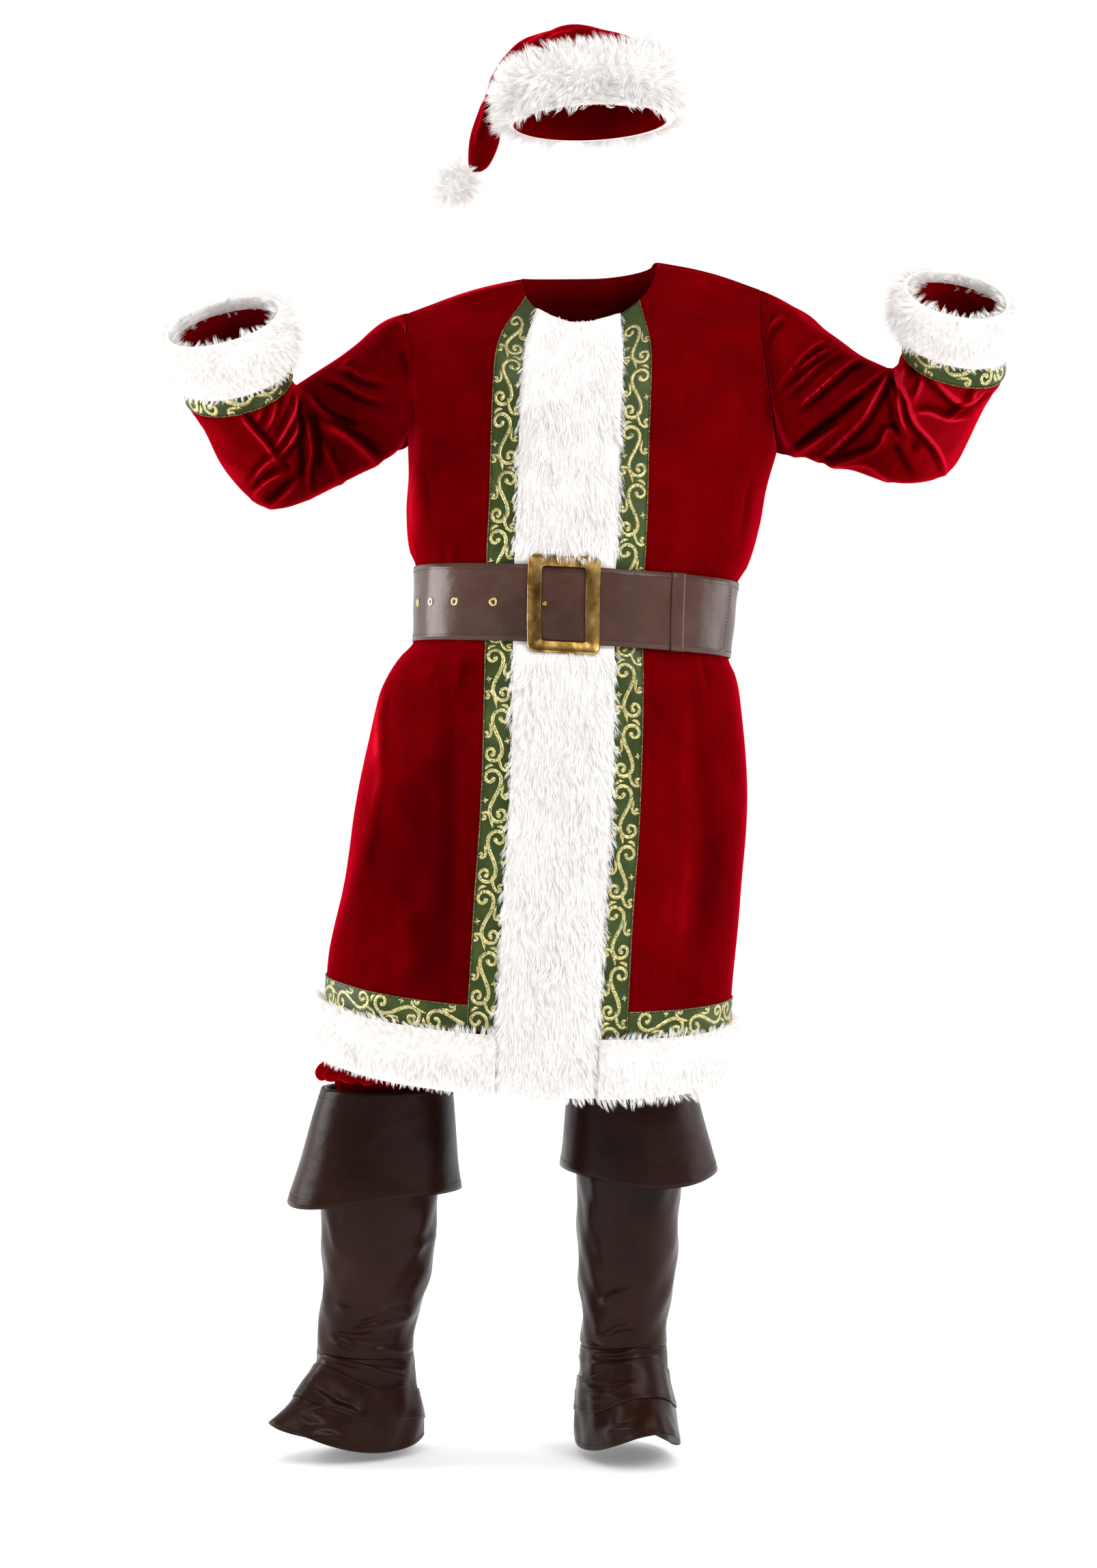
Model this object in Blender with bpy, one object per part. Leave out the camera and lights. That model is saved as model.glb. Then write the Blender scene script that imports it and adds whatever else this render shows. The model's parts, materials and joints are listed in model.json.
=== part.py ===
"""Santa suit as worn: coat, trousers, belt, hat and boot covers.

Metres, +Z up, front towards -Y, +X towards the wearer's left.
The origin is the middle of the neck base. Right and left in the names are the wearer's.
Cloth is a thin wall on sections worked out from the tables.
"""

import math

import bpy
import numpy as np

# Driving sizes
CLOTH = 0.0018
LEATHER = 0.0016
GAP = 0.0003
FUR_HALF = 0.062
TRIM_EDGE = 0.098
TRIM_THICK = 0.0010
BELT_THICK = 0.0023
ARMPIT = -0.2132
BELT_LOW = -0.468
BELT_TOP = -0.373
TRIM_TOP = -0.892
FUR_TOP = -0.924
HEM = -0.983
SQUARENESS = 2.25
AROUND_SLEEVE = 12
AROUND_HAT = 16
AROUND_LEG = 6
AROUND_BOOT = 12

# Coat sections: level, x at the right side, x at the left side, front depth, back depth,
# x of the band's centre, drop of the front, slope towards the wearer's left
COAT_SECTIONS = (
    (-1.015, -0.340, 0.176, 0.187, 0.160, -0.058, 0.026, 0.056),
    (-0.983, -0.339, 0.177, 0.187, 0.160, -0.0565, 0.025, 0.056),
    (-0.909, -0.336, 0.178, 0.185, 0.158, -0.0545, 0.021, 0.056),
    (-0.857, -0.3315, 0.181, 0.184, 0.156, -0.0515, 0.018, 0.056),
    (-0.770, -0.3125, 0.191, 0.182, 0.152, -0.0465, 0.013, 0.055),
    (-0.683, -0.300, 0.1985, 0.181, 0.150, -0.040, 0.009, 0.054),
    (-0.596, -0.282, 0.1975, 0.181, 0.148, -0.0365, 0.005, 0.053),
    (-0.515, -0.258, 0.190, 0.180, 0.145, -0.035, 0.001, 0.052),
    (-0.488, -0.242, 0.184, 0.177, 0.139, -0.035, 0.0, 0.052),
    (-0.468, -0.2245, 0.1750, 0.1705, 0.130, -0.035, 0.0, 0.052),
    (-0.4205, -0.2225, 0.1805, 0.1700, 0.130, -0.035, 0.0, 0.052),
    (-0.373, -0.2215, 0.1865, 0.1695, 0.130, -0.0335, 0.0, 0.052),
    (-0.350, -0.2315, 0.200, 0.1735, 0.136, -0.0325, 0.0, 0.050),
    (-0.300, -0.2345, 0.214, 0.170, 0.137, -0.030, 0.0, 0.040),
    (-0.255, -0.2315, 0.2225, 0.161, 0.134, -0.029, 0.0, 0.028),
    (-0.2132, -0.2325, 0.2365, 0.151, 0.130, -0.028, 0.0, 0.017),
)
BELT_MIDDLE = (BELT_LOW + BELT_TOP) / 2
COAT_LEVELS = (
    *(HEM, FUR_TOP, TRIM_TOP, -0.800, -0.690, -0.580, -0.505),
    *(BELT_LOW, BELT_MIDDLE, BELT_TOP, -0.345, -0.280),
)
UPPER_ROWS = AROUND_SLEEVE // 2

# Two sections above the armpit: height share, depth at the centre, z at the centre,
# edge x, edge y, edge z, roundness. One table for each quarter of the coat.
UPPER_SECTIONS = {
    ("right", "front"): (
        (1 / 3, 0.143, -0.166, -0.2365, 0.066, -0.152, 3.0),
        (2 / 3, 0.120, -0.117, -0.2335, 0.062, -0.092, 2.4),
    ),
    ("left", "front"): (
        (1 / 3, 0.143, -0.166, 0.2240, 0.066, -0.150, 3.0),
        (2 / 3, 0.120, -0.117, 0.2145, 0.062, -0.080, 2.4),
    ),
    ("right", "back"): (
        (1 / 3, 0.128, -0.150, -0.2300, 0.066, -0.152, 3.0),
        (2 / 3, 0.110, -0.072, -0.2290, 0.060, -0.092, 2.4),
    ),
    ("left", "back"): (
        (1 / 3, 0.128, -0.150, 0.2240, 0.066, -0.150, 3.0),
        (2 / 3, 0.110, -0.072, 0.2145, 0.060, -0.080, 2.4),
    ),
}
NECK_FRONT = (-0.020, -0.085, -0.068)
NECK_BACK = (0.000, 0.050, 0.014)
NECK_POINT = {"right": (-0.088, 0.0, 0.006), "left": (0.085, 0.0, 0.028)}
SHOULDER = {"right": (-0.231, 0.0, -0.037), "left": (0.216, 0.0, -0.008)}

# Hem fur: level, reach
HEM_FUR = ((-0.9920, 0.007), (HEM, 0.018), (-0.955, 0.024), (-0.934, 0.018), (FUR_TOP, 0.006))

# Columns below 1 are metres from the centre line. The others are 1 plus a share of the rest.
FRONT_COLUMNS = (0.0, 0.031, 0.052, FUR_HALF, TRIM_EDGE, 1.195, 1.40, 1.60, 1.80, 2.0)
BACK_COLUMNS = (1.0, 1.27, 1.50, 1.68, 1.84, 2.0)

# Sleeve sections after the armhole: inner x, inner z, outer x, outer z, y, half depth
SLEEVE_SECTIONS = {
    "right": (
        (-0.262, -0.050, -0.254, -0.220, -0.012, 0.078),
        (-0.296, -0.080, -0.283, -0.241, -0.027, 0.076),
        (-0.330, -0.108, -0.318, -0.263, -0.043, 0.074),
        (-0.358, -0.131, -0.362, -0.283, -0.060, 0.072),
        (-0.3685, -0.1395, -0.400, -0.293, -0.070, 0.071),
        (-0.3715, -0.1395, -0.432, -0.275, -0.080, 0.070),
        (-0.3725, -0.1370, -0.457, -0.242, -0.092, 0.068),
        (-0.3725, -0.1335, -0.480, -0.201, -0.110, 0.067),
        (-0.3705, -0.1290, -0.500, -0.162, -0.135, 0.066),
        (-0.3750, -0.1020, -0.505, -0.132, -0.155, 0.066),
        (-0.3830, -0.0680, -0.512, -0.100, -0.175, 0.066),
        (-0.3890, -0.0440, -0.518, -0.078, -0.189, 0.066),
    ),
    "left": (
        (0.257, -0.031, 0.270, -0.223, -0.013, 0.080),
        (0.290, -0.059, 0.308, -0.235, -0.027, 0.077),
        (0.322, -0.088, 0.342, -0.246, -0.043, 0.075),
        (0.358, -0.110, 0.376, -0.258, -0.060, 0.073),
        (0.379, -0.1165, 0.412, -0.262, -0.070, 0.072),
        (0.3845, -0.1150, 0.443, -0.248, -0.080, 0.071),
        (0.3865, -0.1115, 0.465, -0.217, -0.092, 0.069),
        (0.3865, -0.1065, 0.487, -0.173, -0.110, 0.067),
        (0.3840, -0.0990, 0.507, -0.130, -0.135, 0.065),
        (0.3840, -0.0680, 0.503, -0.094, -0.155, 0.062),
        (0.3850, -0.0390, 0.501, -0.062, -0.175, 0.060),
        (0.3860, -0.0180, 0.500, -0.041, -0.189, 0.060),
    ),
}
SLEEVE_END = 10.85
CUFF_TRIM = (9.0, 9.55, 9.95)
# Fur cuff: section number, reach of the fur
CUFF_FUR = ((9.55, 0.006), (9.95, 0.020), (10.5, 0.026), (11.05, 0.020), (11.35, 0.008))

# Hat sections: left x, left z, right x, right z, y, half depth
HAT_SECTIONS = (
    (-0.098, 0.200, 0.098, 0.208, 0.000, 0.108),
    (-0.100, 0.258, 0.096, 0.270, 0.000, 0.108),
    (-0.101, 0.269, 0.068, 0.299, 0.004, 0.100),
    (-0.102, 0.273, 0.020, 0.321, 0.014, 0.088),
    (-0.103, 0.274, -0.030, 0.3265, 0.028, 0.074),
    (-0.1045, 0.273, -0.076, 0.3170, 0.042, 0.062),
    (-0.1070, 0.267, -0.1065, 0.2975, 0.054, 0.053),
    (-0.1085, 0.256, -0.1270, 0.2725, 0.060, 0.047),
    (-0.1100, 0.237, -0.1390, 0.2390, 0.064, 0.043),
    (-0.1130, 0.210, -0.1510, 0.2090, 0.066, 0.038),
    (-0.1190, 0.184, -0.1565, 0.1810, 0.064, 0.031),
    (-0.1300, 0.164, -0.1560, 0.1590, 0.058, 0.020),
    (-0.1400, 0.154, -0.1500, 0.1520, 0.052, 0.006),
)
# Hat fur: section number, reach of the fur
HAT_FUR = ((0.0, 0.012), (0.20, 0.021), (0.60, 0.024), (1.0, 0.019), (1.4, 0.007))
POM_CENTRE = (-0.1735, 0.040, 0.1330)
POM_RADIUS = 0.031

# Trouser sections: inner x, outer x, centre y, front depth, back depth, z,
# and how far the section has turned from a quarter of the hips (0) to half of a leg (0.5)
TROUSER_SECTIONS = {
    "right": (
        (-0.020, -0.200, 0.000, 0.146, 0.112, -0.395, 0.0),
        (-0.025, -0.216, 0.000, 0.148, 0.118, -0.500, 0.0),
        (-0.030, -0.240, 0.000, 0.142, 0.124, -0.610, 0.0),
        (-0.032, -0.252, 0.000, 0.128, 0.114, -0.680, 0.20),
        (-0.034, -0.258, 0.000, 0.114, 0.104, -0.715, 0.38),
        (-0.038, -0.264, 0.000, 0.104, 0.098, -0.735, 0.5),
        (-0.080, -0.284, 0.004, 0.096, 0.092, -0.830, 0.5),
        (-0.122, -0.312, 0.012, 0.088, 0.086, -0.935, 0.5),
        (-0.136, -0.328, 0.022, 0.092, 0.088, -0.980, 0.5),
        (-0.138, -0.350, 0.032, 0.098, 0.092, -1.002, 0.5),
        (-0.146, -0.348, 0.042, 0.094, 0.088, -1.0140, 0.5),
        (-0.196, -0.328, 0.060, 0.064, 0.064, -1.0215, 0.5),
        (-0.204, -0.328, 0.073, 0.060, 0.060, -1.100, 0.5),
    ),
    "left": (
        (-0.020, 0.160, 0.000, 0.146, 0.112, -0.395, 0.0),
        (-0.025, 0.164, 0.000, 0.148, 0.118, -0.500, 0.0),
        (-0.030, 0.168, 0.000, 0.142, 0.124, -0.610, 0.0),
        (-0.032, 0.164, 0.000, 0.128, 0.114, -0.680, 0.20),
        (-0.031, 0.160, 0.000, 0.114, 0.104, -0.715, 0.38),
        (-0.028, 0.158, 0.000, 0.104, 0.098, -0.735, 0.5),
        (-0.036, 0.148, 0.006, 0.094, 0.092, -0.830, 0.5),
        (-0.036, 0.138, 0.018, 0.084, 0.084, -0.935, 0.5),
        (-0.036, 0.140, 0.024, 0.086, 0.084, -0.966, 0.5),
        (-0.036, 0.140, 0.030, 0.086, 0.082, -0.980, 0.5),
        (-0.032, 0.136, 0.034, 0.082, 0.080, -0.9890, 0.5),
        (-0.014, 0.114, 0.042, 0.066, 0.066, -0.9965, 0.5),
        (-0.010, 0.112, 0.060, 0.060, 0.060, -1.080, 0.5),
    ),
}

# Boot cover sections: x, y, front reach, back reach, half width, z at the front, side and back
BOOT_TURN = {"right": (-0.799, -0.602), "left": (0.292, -0.956)}
BOOT_SHAFT = {
    "right": (
        (-0.262, 0.060, 0.085, 0.085, 0.071, -1.028, -1.028, -1.028),
        (-0.2665, 0.075, 0.082, 0.082, 0.069, -1.110, -1.110, -1.110),
        (-0.2742, 0.090, 0.080, 0.080, 0.066, -1.190, -1.190, -1.190),
        (-0.2750, 0.098, 0.076, 0.076, 0.063, -1.262, -1.262, -1.262),
        (-0.2823, 0.105, 0.071, 0.071, 0.059, -1.309, -1.309, -1.309),
        (-0.2918, 0.114, 0.067, 0.067, 0.055, -1.352, -1.352, -1.352),
        (-0.2940, 0.119, 0.067, 0.067, 0.055, -1.378, -1.384, -1.384),
    ),
    "left": (
        (0.0524, 0.042, 0.083, 0.083, 0.073, -1.003, -1.003, -1.003),
        (0.0515, 0.060, 0.081, 0.081, 0.070, -1.085, -1.085, -1.085),
        (0.0500, 0.078, 0.080, 0.080, 0.066, -1.165, -1.165, -1.165),
        (0.0490, 0.093, 0.076, 0.076, 0.063, -1.250, -1.250, -1.250),
        (0.0475, 0.102, 0.071, 0.071, 0.059, -1.300, -1.300, -1.300),
        (0.0455, 0.111, 0.067, 0.067, 0.055, -1.342, -1.342, -1.342),
        (0.0450, 0.119, 0.067, 0.067, 0.055, -1.366, -1.372, -1.372),
    ),
}
BOOT_CUFF = {
    "right": (
        (-0.2620, 0.060, 0.0890, 0.0890, 0.0750, -1.0280, -1.0280, -1.0280),
        (-0.2705, 0.070, 0.1040, 0.1040, 0.0880, -1.1020, -1.0960, -1.0960),
        (-0.2790, 0.080, 0.1200, 0.1200, 0.1010, -1.1800, -1.1640, -1.1640),
    ),
    "left": (
        (0.0524, 0.042, 0.0870, 0.0870, 0.0770, -1.0030, -1.0030, -1.0030),
        (0.0560, 0.054, 0.1040, 0.1040, 0.0890, -1.0740, -1.0680, -1.0680),
        (0.0604, 0.068, 0.1200, 0.1200, 0.1010, -1.1480, -1.1320, -1.1320),
    ),
}
BOOT_FLAP = {
    "right": (
        (-0.2940, 0.119, 0.067, 0.067, 0.055, -1.3783, -1.3843, -1.3843),
        (-0.2945, 0.120, 0.070, 0.075, 0.058, -1.3900, -1.4200, -1.4380),
        (-0.2950, 0.120, 0.101, 0.083, 0.062, -1.4280, -1.4620, -1.4760),
        (-0.2950, 0.120, 0.144, 0.086, 0.061, -1.4580, -1.5040, -1.4920),
    ),
    "left": (
        (0.0450, 0.119, 0.067, 0.067, 0.055, -1.3663, -1.3723, -1.3723),
        (0.0450, 0.120, 0.070, 0.075, 0.058, -1.3780, -1.4120, -1.4300),
        (0.0450, 0.120, 0.101, 0.083, 0.062, -1.4220, -1.4560, -1.4700),
        (0.0450, 0.120, 0.144, 0.086, 0.061, -1.4620, -1.5040, -1.4920),
    ),
}

# Buckle and belt furniture, measured from the band's centre along the belt
BUCKLE_HALF_WIDTH = 0.0430
BUCKLE_HALF_HEIGHT = 0.0625
BUCKLE_BAR = 0.0172
BUCKLE_CORNER = 0.009
BUCKLE_THICK = 0.0040
BELT_LAYER = 0.0028
FUR_REST = 0.0040
BELT_TIP = 0.245
KEEPER = (0.132, 0.150)
EYELET_PLACES = (0.086, 0.142, 0.187, 0.226)
EYELET_HOLE = 0.0031
EYELET_FLANGE = 0.0054
EYELET_SIDES = 12

# Material looks for the plain solid: red, green, blue, metallic, roughness
LOOKS = {
    "velvet": (0.33, 0.012, 0.020, 0.0, 0.85),
    "fur": (0.90, 0.87, 0.84, 0.0, 0.95),
    "trim": (0.045, 0.12, 0.045, 0.0, 0.60),
    "belt_leather": (0.085, 0.045, 0.040, 0.0, 0.40),
    "boot_leather": (0.035, 0.018, 0.014, 0.0, 0.40),
    "brass": (0.50, 0.33, 0.11, 1.0, 0.35),
}


def clear_scene():
    for item in list(bpy.data.objects):
        bpy.data.objects.remove(item, do_unlink=True)
    for name in ("santa_suit", "cutters"):
        made = bpy.data.collections.new(name)
        bpy.context.scene.collection.children.link(made)
    bpy.data.collections["cutters"].hide_render = True


def material(kind, name):
    red, green, blue, metallic, roughness = LOOKS[kind]
    made = bpy.data.materials.new(name + "_" + kind)
    made.use_nodes = True
    shader = made.node_tree.nodes["Principled BSDF"]
    shader.inputs["Base Color"].default_value = (red, green, blue, 1.0)
    shader.inputs["Metallic"].default_value = metallic
    shader.inputs["Roughness"].default_value = roughness
    made.diffuse_color = (red, green, blue, 1.0)
    return made


def add_mesh(name, points, faces, kind):
    mesh = bpy.data.meshes.new(name)
    mesh.from_pydata([tuple(p) for p in points], [], [tuple(f) for f in faces])
    mesh.validate()
    mesh.shade_smooth()
    mesh.set_sharp_from_angle(angle=math.radians(45))
    made = bpy.data.objects.new(name, mesh)
    if kind is None:
        bpy.data.collections["cutters"].objects.link(made)
        made.hide_render = True
        made.display_type = "WIRE"
    else:
        mesh.materials.append(material(kind, name))
        bpy.data.collections["santa_suit"].objects.link(made)
    return made


def unit(vectors):
    length = np.linalg.norm(vectors, axis=-1, keepdims=True)
    return vectors / np.maximum(length, 1e-12)


def through(keys, values, at):
    """Smooth curve through values (an array whose first axis matches keys), read at one place."""
    keys = np.asarray(keys, float)
    values = np.asarray(values, float)
    i = int(np.clip(np.searchsorted(keys, at) - 1, 0, len(keys) - 2))
    step = keys[i + 1] - keys[i]
    t = (at - keys[i]) / step
    before = max(i - 1, 0)
    after = min(i + 2, len(keys) - 1)
    slope_a = (values[i + 1] - values[before]) / (keys[i + 1] - keys[before])
    slope_b = (values[after] - values[i]) / (keys[after] - keys[i])
    return (
        values[i] * (2 * t**3 - 3 * t**2 + 1)
        + slope_a * step * (t**3 - 2 * t**2 + t)
        + values[i + 1] * (3 * t**2 - 2 * t**3)
        + slope_b * step * (t**3 - t**2)
    )


def lengths(curve):
    steps = np.linalg.norm(np.diff(curve, axis=0), axis=1)
    return np.concatenate([[0.0], np.cumsum(steps)])


def read_curve(curve, distance):
    run = lengths(curve)
    return np.array([np.interp(distance, run, curve[:, k]) for k in range(3)])


def even(curve, count=121):
    """The same curve with its points evenly spaced."""
    run = lengths(curve)
    wanted = np.linspace(0.0, run[-1], count)
    return np.stack([np.interp(wanted, run, curve[:, k]) for k in range(3)], axis=1)


# ------------------------------------------------------------------ coat surface


def section_curve(side, face, level):
    """A quarter of the coat's level section, from its centre line to the side seam."""
    table = np.array(COAT_SECTIONS)
    right, left, front, back, band, drop, slope = through(table[:, 0], table[:, 1:], level)
    middle = (right + left) / 2
    half = (left - right) / 2
    sign = -1.0 if side == "right" else 1.0
    start_x = band if face == "front" else middle
    share = (start_x - middle) / half
    start = math.copysign(abs(share) ** (SQUARENESS / 2), share)
    turn = np.linspace(math.asin(start), sign * math.pi / 2, 241)
    power = 2 / SQUARENESS
    x = middle + half * np.sign(np.sin(turn)) * np.abs(np.sin(turn)) ** power
    swell = np.abs(np.cos(turn)) ** power
    if face == "front":
        y = -front * swell
        fall = drop * swell**1.5
    else:
        y = back * swell
        fall = 0.4 * drop * swell**1.5
    z = level - slope * (x - middle) - fall
    return even(np.stack([x, y, z], axis=1))


def upper_curve(side, face, row):
    """A section between the armpit and the shoulder, from the centre line to the armhole."""
    share, depth, centre_z, edge_x, edge_y, edge_z, roundness = row
    start_x = (1 - share) * -0.028 + share * NECK_FRONT[0] if face == "front" else 0.0
    sign = -1.0 if face == "front" else 1.0
    q = np.linspace(0.0, 1.0, 121)
    x = start_x + (edge_x - start_x) * q
    y = sign * (depth + (edge_y - depth) * q**roundness)
    z = centre_z + (edge_z - centre_z) * q * q * (3 - 2 * q)
    return even(np.stack([x, y, z], axis=1))


def top_curve(side, face):
    """Neckline and then shoulder seam."""
    start = np.array(NECK_FRONT if face == "front" else NECK_BACK)
    neck = np.array(NECK_POINT[side])
    shoulder = np.array(SHOULDER[side])
    a = np.linspace(0.0, math.pi / 2, 41)
    x = start[0] + (neck[0] - start[0]) * np.sin(a)
    y = start[1] * np.cos(a)
    z = start[2] + (neck[2] - start[2]) * (1 - np.cos(a)) ** 0.9
    t = np.linspace(0.0, 1.0, 41)[1:, None]
    seam = neck + (shoulder - neck) * t
    seam[:, 2] += 0.004 * np.sin(math.pi * t[:, 0])
    return even(np.concatenate([np.stack([x, y, z], axis=1), seam]))


def row_curve(side, face, level):
    if level <= ARMPIT:
        return section_curve(side, face, level)
    rows = UPPER_SECTIONS[(side, face)]
    keys = [-0.3, 0.0, rows[0][0], rows[1][0], 1.0]
    curves = [
        section_curve(side, face, ARMPIT * 1.3),
        section_curve(side, face, ARMPIT),
        upper_curve(side, face, rows[0]),
        upper_curve(side, face, rows[1]),
        top_curve(side, face),
    ]
    return through(keys, curves, 1.0 - level / ARMPIT)


def distance_of(curve, face, column):
    total = lengths(curve)[-1]
    if column < 1.0:
        return column
    if face == "front":
        return TRIM_EDGE + (column - 1.0) * (total - TRIM_EDGE)
    return (column - 1.0) * total


def other(side):
    return "left" if side == "right" else "right"


def coat_grid(side, face, columns, levels):
    """Points and outward normals of the coat's surface, one row for each level, from right to left."""
    points = np.zeros((len(levels), len(columns), 3))
    normals = np.zeros_like(points)
    near = 0.003
    for i, level in enumerate(levels):
        low = max(level - near, -1.0149)
        high = min(level + near, 0.0)
        curve = row_curve(side, face, level)
        below = row_curve(side, face, low)
        above = row_curve(side, face, high)
        across = row_curve(other(side), face, level)
        total = lengths(curve)[-1]
        for j, column in enumerate(columns):
            at = distance_of(curve, face, column)
            points[i, j] = read_curve(curve, at)
            if at < 1e-9:
                along = read_curve(curve, near) - read_curve(across, near)
            else:
                along = read_curve(curve, min(at + near, total)) - read_curve(curve, at - near)
            up = read_curve(above, distance_of(above, face, column))
            up = up - read_curve(below, distance_of(below, face, column))
            normal = np.cross(along, up)
            if (side == "right") == (face == "front"):
                normal = -normal
            on_side_seam = column == 2.0 and level <= ARMPIT
            on_shoulder = level >= 0.0 and abs(points[i, j, 1]) < 0.002
            if on_side_seam or on_shoulder:
                normal[1] = 0.0
            normals[i, j] = unit(normal)
    if side == "right":
        return points[:, ::-1], normals[:, ::-1]
    return points, normals


def joined(face, columns, levels):
    """Both halves of a front or back as one grid, sharing the centre line."""
    right, right_normals = coat_grid("right", face, columns, levels)
    left, left_normals = coat_grid("left", face, columns, levels)
    points = np.concatenate([right, left[:, 1:]], axis=1)
    normals = np.concatenate([right_normals, left_normals[:, 1:]], axis=1)
    return points, normals


def inset(points, first_column=0.0, last_column=0.0, first_row=0.0, last_row=0.0):
    """Draws the edges of a grid in by these distances."""
    moved = points.copy()
    moved[:, 0] += first_column * unit(points[:, 1] - points[:, 0])
    moved[:, -1] += last_column * unit(points[:, -2] - points[:, -1])
    moved[0] += first_row * unit(points[1] - points[0])
    moved[-1] += last_row * unit(points[-2] - points[-1])
    return moved


# ------------------------------------------------------------------ solids from grids


def shell(name, points, normals, outer, inner, kind, wrap=False, cap=False):
    """A closed wall between two offsets of one grid. wrap joins the last column to the first."""
    rows, columns = points.shape[:2]
    outer = np.broadcast_to(np.asarray(outer, float), (rows, columns))[..., None]
    inner = np.broadcast_to(np.asarray(inner, float), (rows, columns))[..., None]
    outside = (points + normals * outer).reshape(-1, 3)
    inside = (points + normals * inner).reshape(-1, 3)
    sheets = np.concatenate([outside, inside])
    half = rows * columns
    faces = []

    def cell(a, b, c, d, back):
        for three in ((a, b, c), (a, c, d)):
            faces.append(three)
            if back:
                faces.append(tuple(half + k for k in reversed(three)))

    span = columns if wrap else columns - 1
    for i in range(rows - 1):
        for j in range(span):
            k = (j + 1) % columns
            low, high = i * columns, (i + 1) * columns
            cell(low + j, low + k, high + k, high + j, True)
    for j in range(span):
        k = (j + 1) % columns
        cell(half + j, half + k, k, j, False)
        last = (rows - 1) * columns
        if not cap:
            cell(last + j, last + k, half + last + k, half + last + j, False)
    if not wrap:
        for i in range(rows - 1):
            a, b = i * columns, (i + 1) * columns
            cell(a, b, half + b, half + a, False)
            a, b = a + columns - 1, b + columns - 1
            cell(half + a, half + b, b, a, False)
    if cap:
        last = (rows - 1) * columns
        outer_tip = sheets[last : last + columns].mean(axis=0)
        inner_tip = sheets[half + last :].mean(axis=0)
        sheets = np.concatenate([sheets, [outer_tip, inner_tip]])
        for j in range(columns):
            k = (j + 1) % columns
            faces.append((last + j, last + k, 2 * half))
            faces.append((half + last + k, half + last + j, 2 * half + 1))
    return add_mesh(name, sheets, outward(sheets, faces), kind)


def outward(points, faces):
    """Turns all the faces round when the volume they close is negative."""
    corners = np.asarray(points)[np.asarray(faces)]
    volume = np.einsum("ij,ij->i", corners[:, 0], np.cross(corners[:, 1], corners[:, 2])).sum()
    return [tuple(reversed(f)) for f in faces] if volume < 0 else faces


def ring_normals(rings):
    """Outward normals of a tube given as rings of points."""
    around = np.roll(rings, -1, axis=1) - np.roll(rings, 1, axis=1)
    along = np.gradient(rings, axis=0)
    normals = unit(np.cross(around, along))
    outward_way = rings - rings.mean(axis=1, keepdims=True)
    if (normals * outward_way).sum() < 0:
        normals = -normals
    return normals


# ------------------------------------------------------------------ coat pieces


def full_levels():
    upper = [ARMPIT * (1 - k / UPPER_ROWS) for k in range(UPPER_ROWS + 1)]
    return list(COAT_LEVELS) + upper


def draw_in_seam(points, rows, edge, near):
    """Leaves half a gap along the first rows of one edge column."""
    points[:rows, edge] += GAP / 2 * unit(points[:rows, near] - points[:rows, edge])


def draw_in_shoulder(points):
    on_seam = np.abs(points[-1, :, 1]) < 0.002
    points[-1, on_seam] += GAP / 2 * unit(points[-2, on_seam] - points[-1, on_seam])


def build_coat():
    levels = full_levels()
    seam_rows = len(COAT_LEVELS) + 1
    for side in ("right", "left"):
        points, normals = coat_grid(side, "front", FRONT_COLUMNS, levels)
        edge, near, centre, beside = (0, 1, -1, -2) if side == "right" else (-1, -2, 0, 1)
        draw_in_seam(points, len(levels), centre, beside)
        draw_in_seam(points, seam_rows, edge, near)
        draw_in_shoulder(points)
        shell("coat_front_" + side, points, normals, 0.0, -CLOTH, "velvet")
    points, normals = joined("back", BACK_COLUMNS, levels)
    draw_in_seam(points, seam_rows, 0, 1)
    draw_in_seam(points, seam_rows, -1, -2)
    draw_in_shoulder(points)
    shell("coat_back", points, normals, 0.0, -CLOTH, "velvet")


def build_fur_band():
    levels = [-0.991] + full_levels()
    points, normals = joined("front", FRONT_COLUMNS[:4], levels)
    across = np.array([0.0030, 0.0095, 0.0125, 0.0135, 0.0125, 0.0095, 0.0030])
    reach = np.tile(across, (len(levels), 1))
    for i, level in enumerate(levels):
        if BELT_LOW - 1e-6 <= level <= BELT_TOP + 1e-6:
            reach[i] = 0.0030
        if level <= FUR_TOP:
            reach[i] = across * 1.5
    reach[0] = 0.0060
    reach[-1] = 0.0050
    points = inset(points, GAP / 2, GAP / 2, 0.0, 0.0)
    shell("fur_front_band", points, normals, reach, GAP, "fur")


def build_trims():
    half_gap = GAP / 2
    tall = [level for level in full_levels() if level >= FUR_TOP]
    low = [FUR_TOP, TRIM_TOP]
    thick = GAP + TRIM_THICK
    for side in ("right", "left"):
        points, normals = coat_grid(side, "front", FRONT_COLUMNS[3:5], tall)
        points = inset(points, half_gap, half_gap, half_gap, 0.0)
        shell("trim_front_" + side, points, normals, thick, GAP, "trim")
        points, normals = coat_grid(side, "front", FRONT_COLUMNS[4:], low)
        points = inset(points, half_gap, half_gap, half_gap, 0.0)
        shell("trim_hem_" + side, points, normals, thick, GAP, "trim")
    points, normals = joined("back", BACK_COLUMNS, low)
    points = inset(points, half_gap, half_gap, half_gap, 0.0)
    shell("trim_hem_back", points, normals, thick, GAP, "trim")


def build_fur_hem():
    half_gap = GAP / 2
    levels = [row[0] for row in HEM_FUR]
    reach = np.array([[row[1]] for row in HEM_FUR])
    for side in ("right", "left"):
        points, normals = coat_grid(side, "front", FRONT_COLUMNS[3:], levels)
        points = inset(points, half_gap, half_gap, 0.0, half_gap)
        shell("fur_hem_" + side, points, normals, reach, GAP, "fur")
    points, normals = joined("back", BACK_COLUMNS, levels)
    points = inset(points, half_gap, half_gap, 0.0, half_gap)
    shell("fur_hem_back", points, normals, reach, GAP, "fur")


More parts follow.
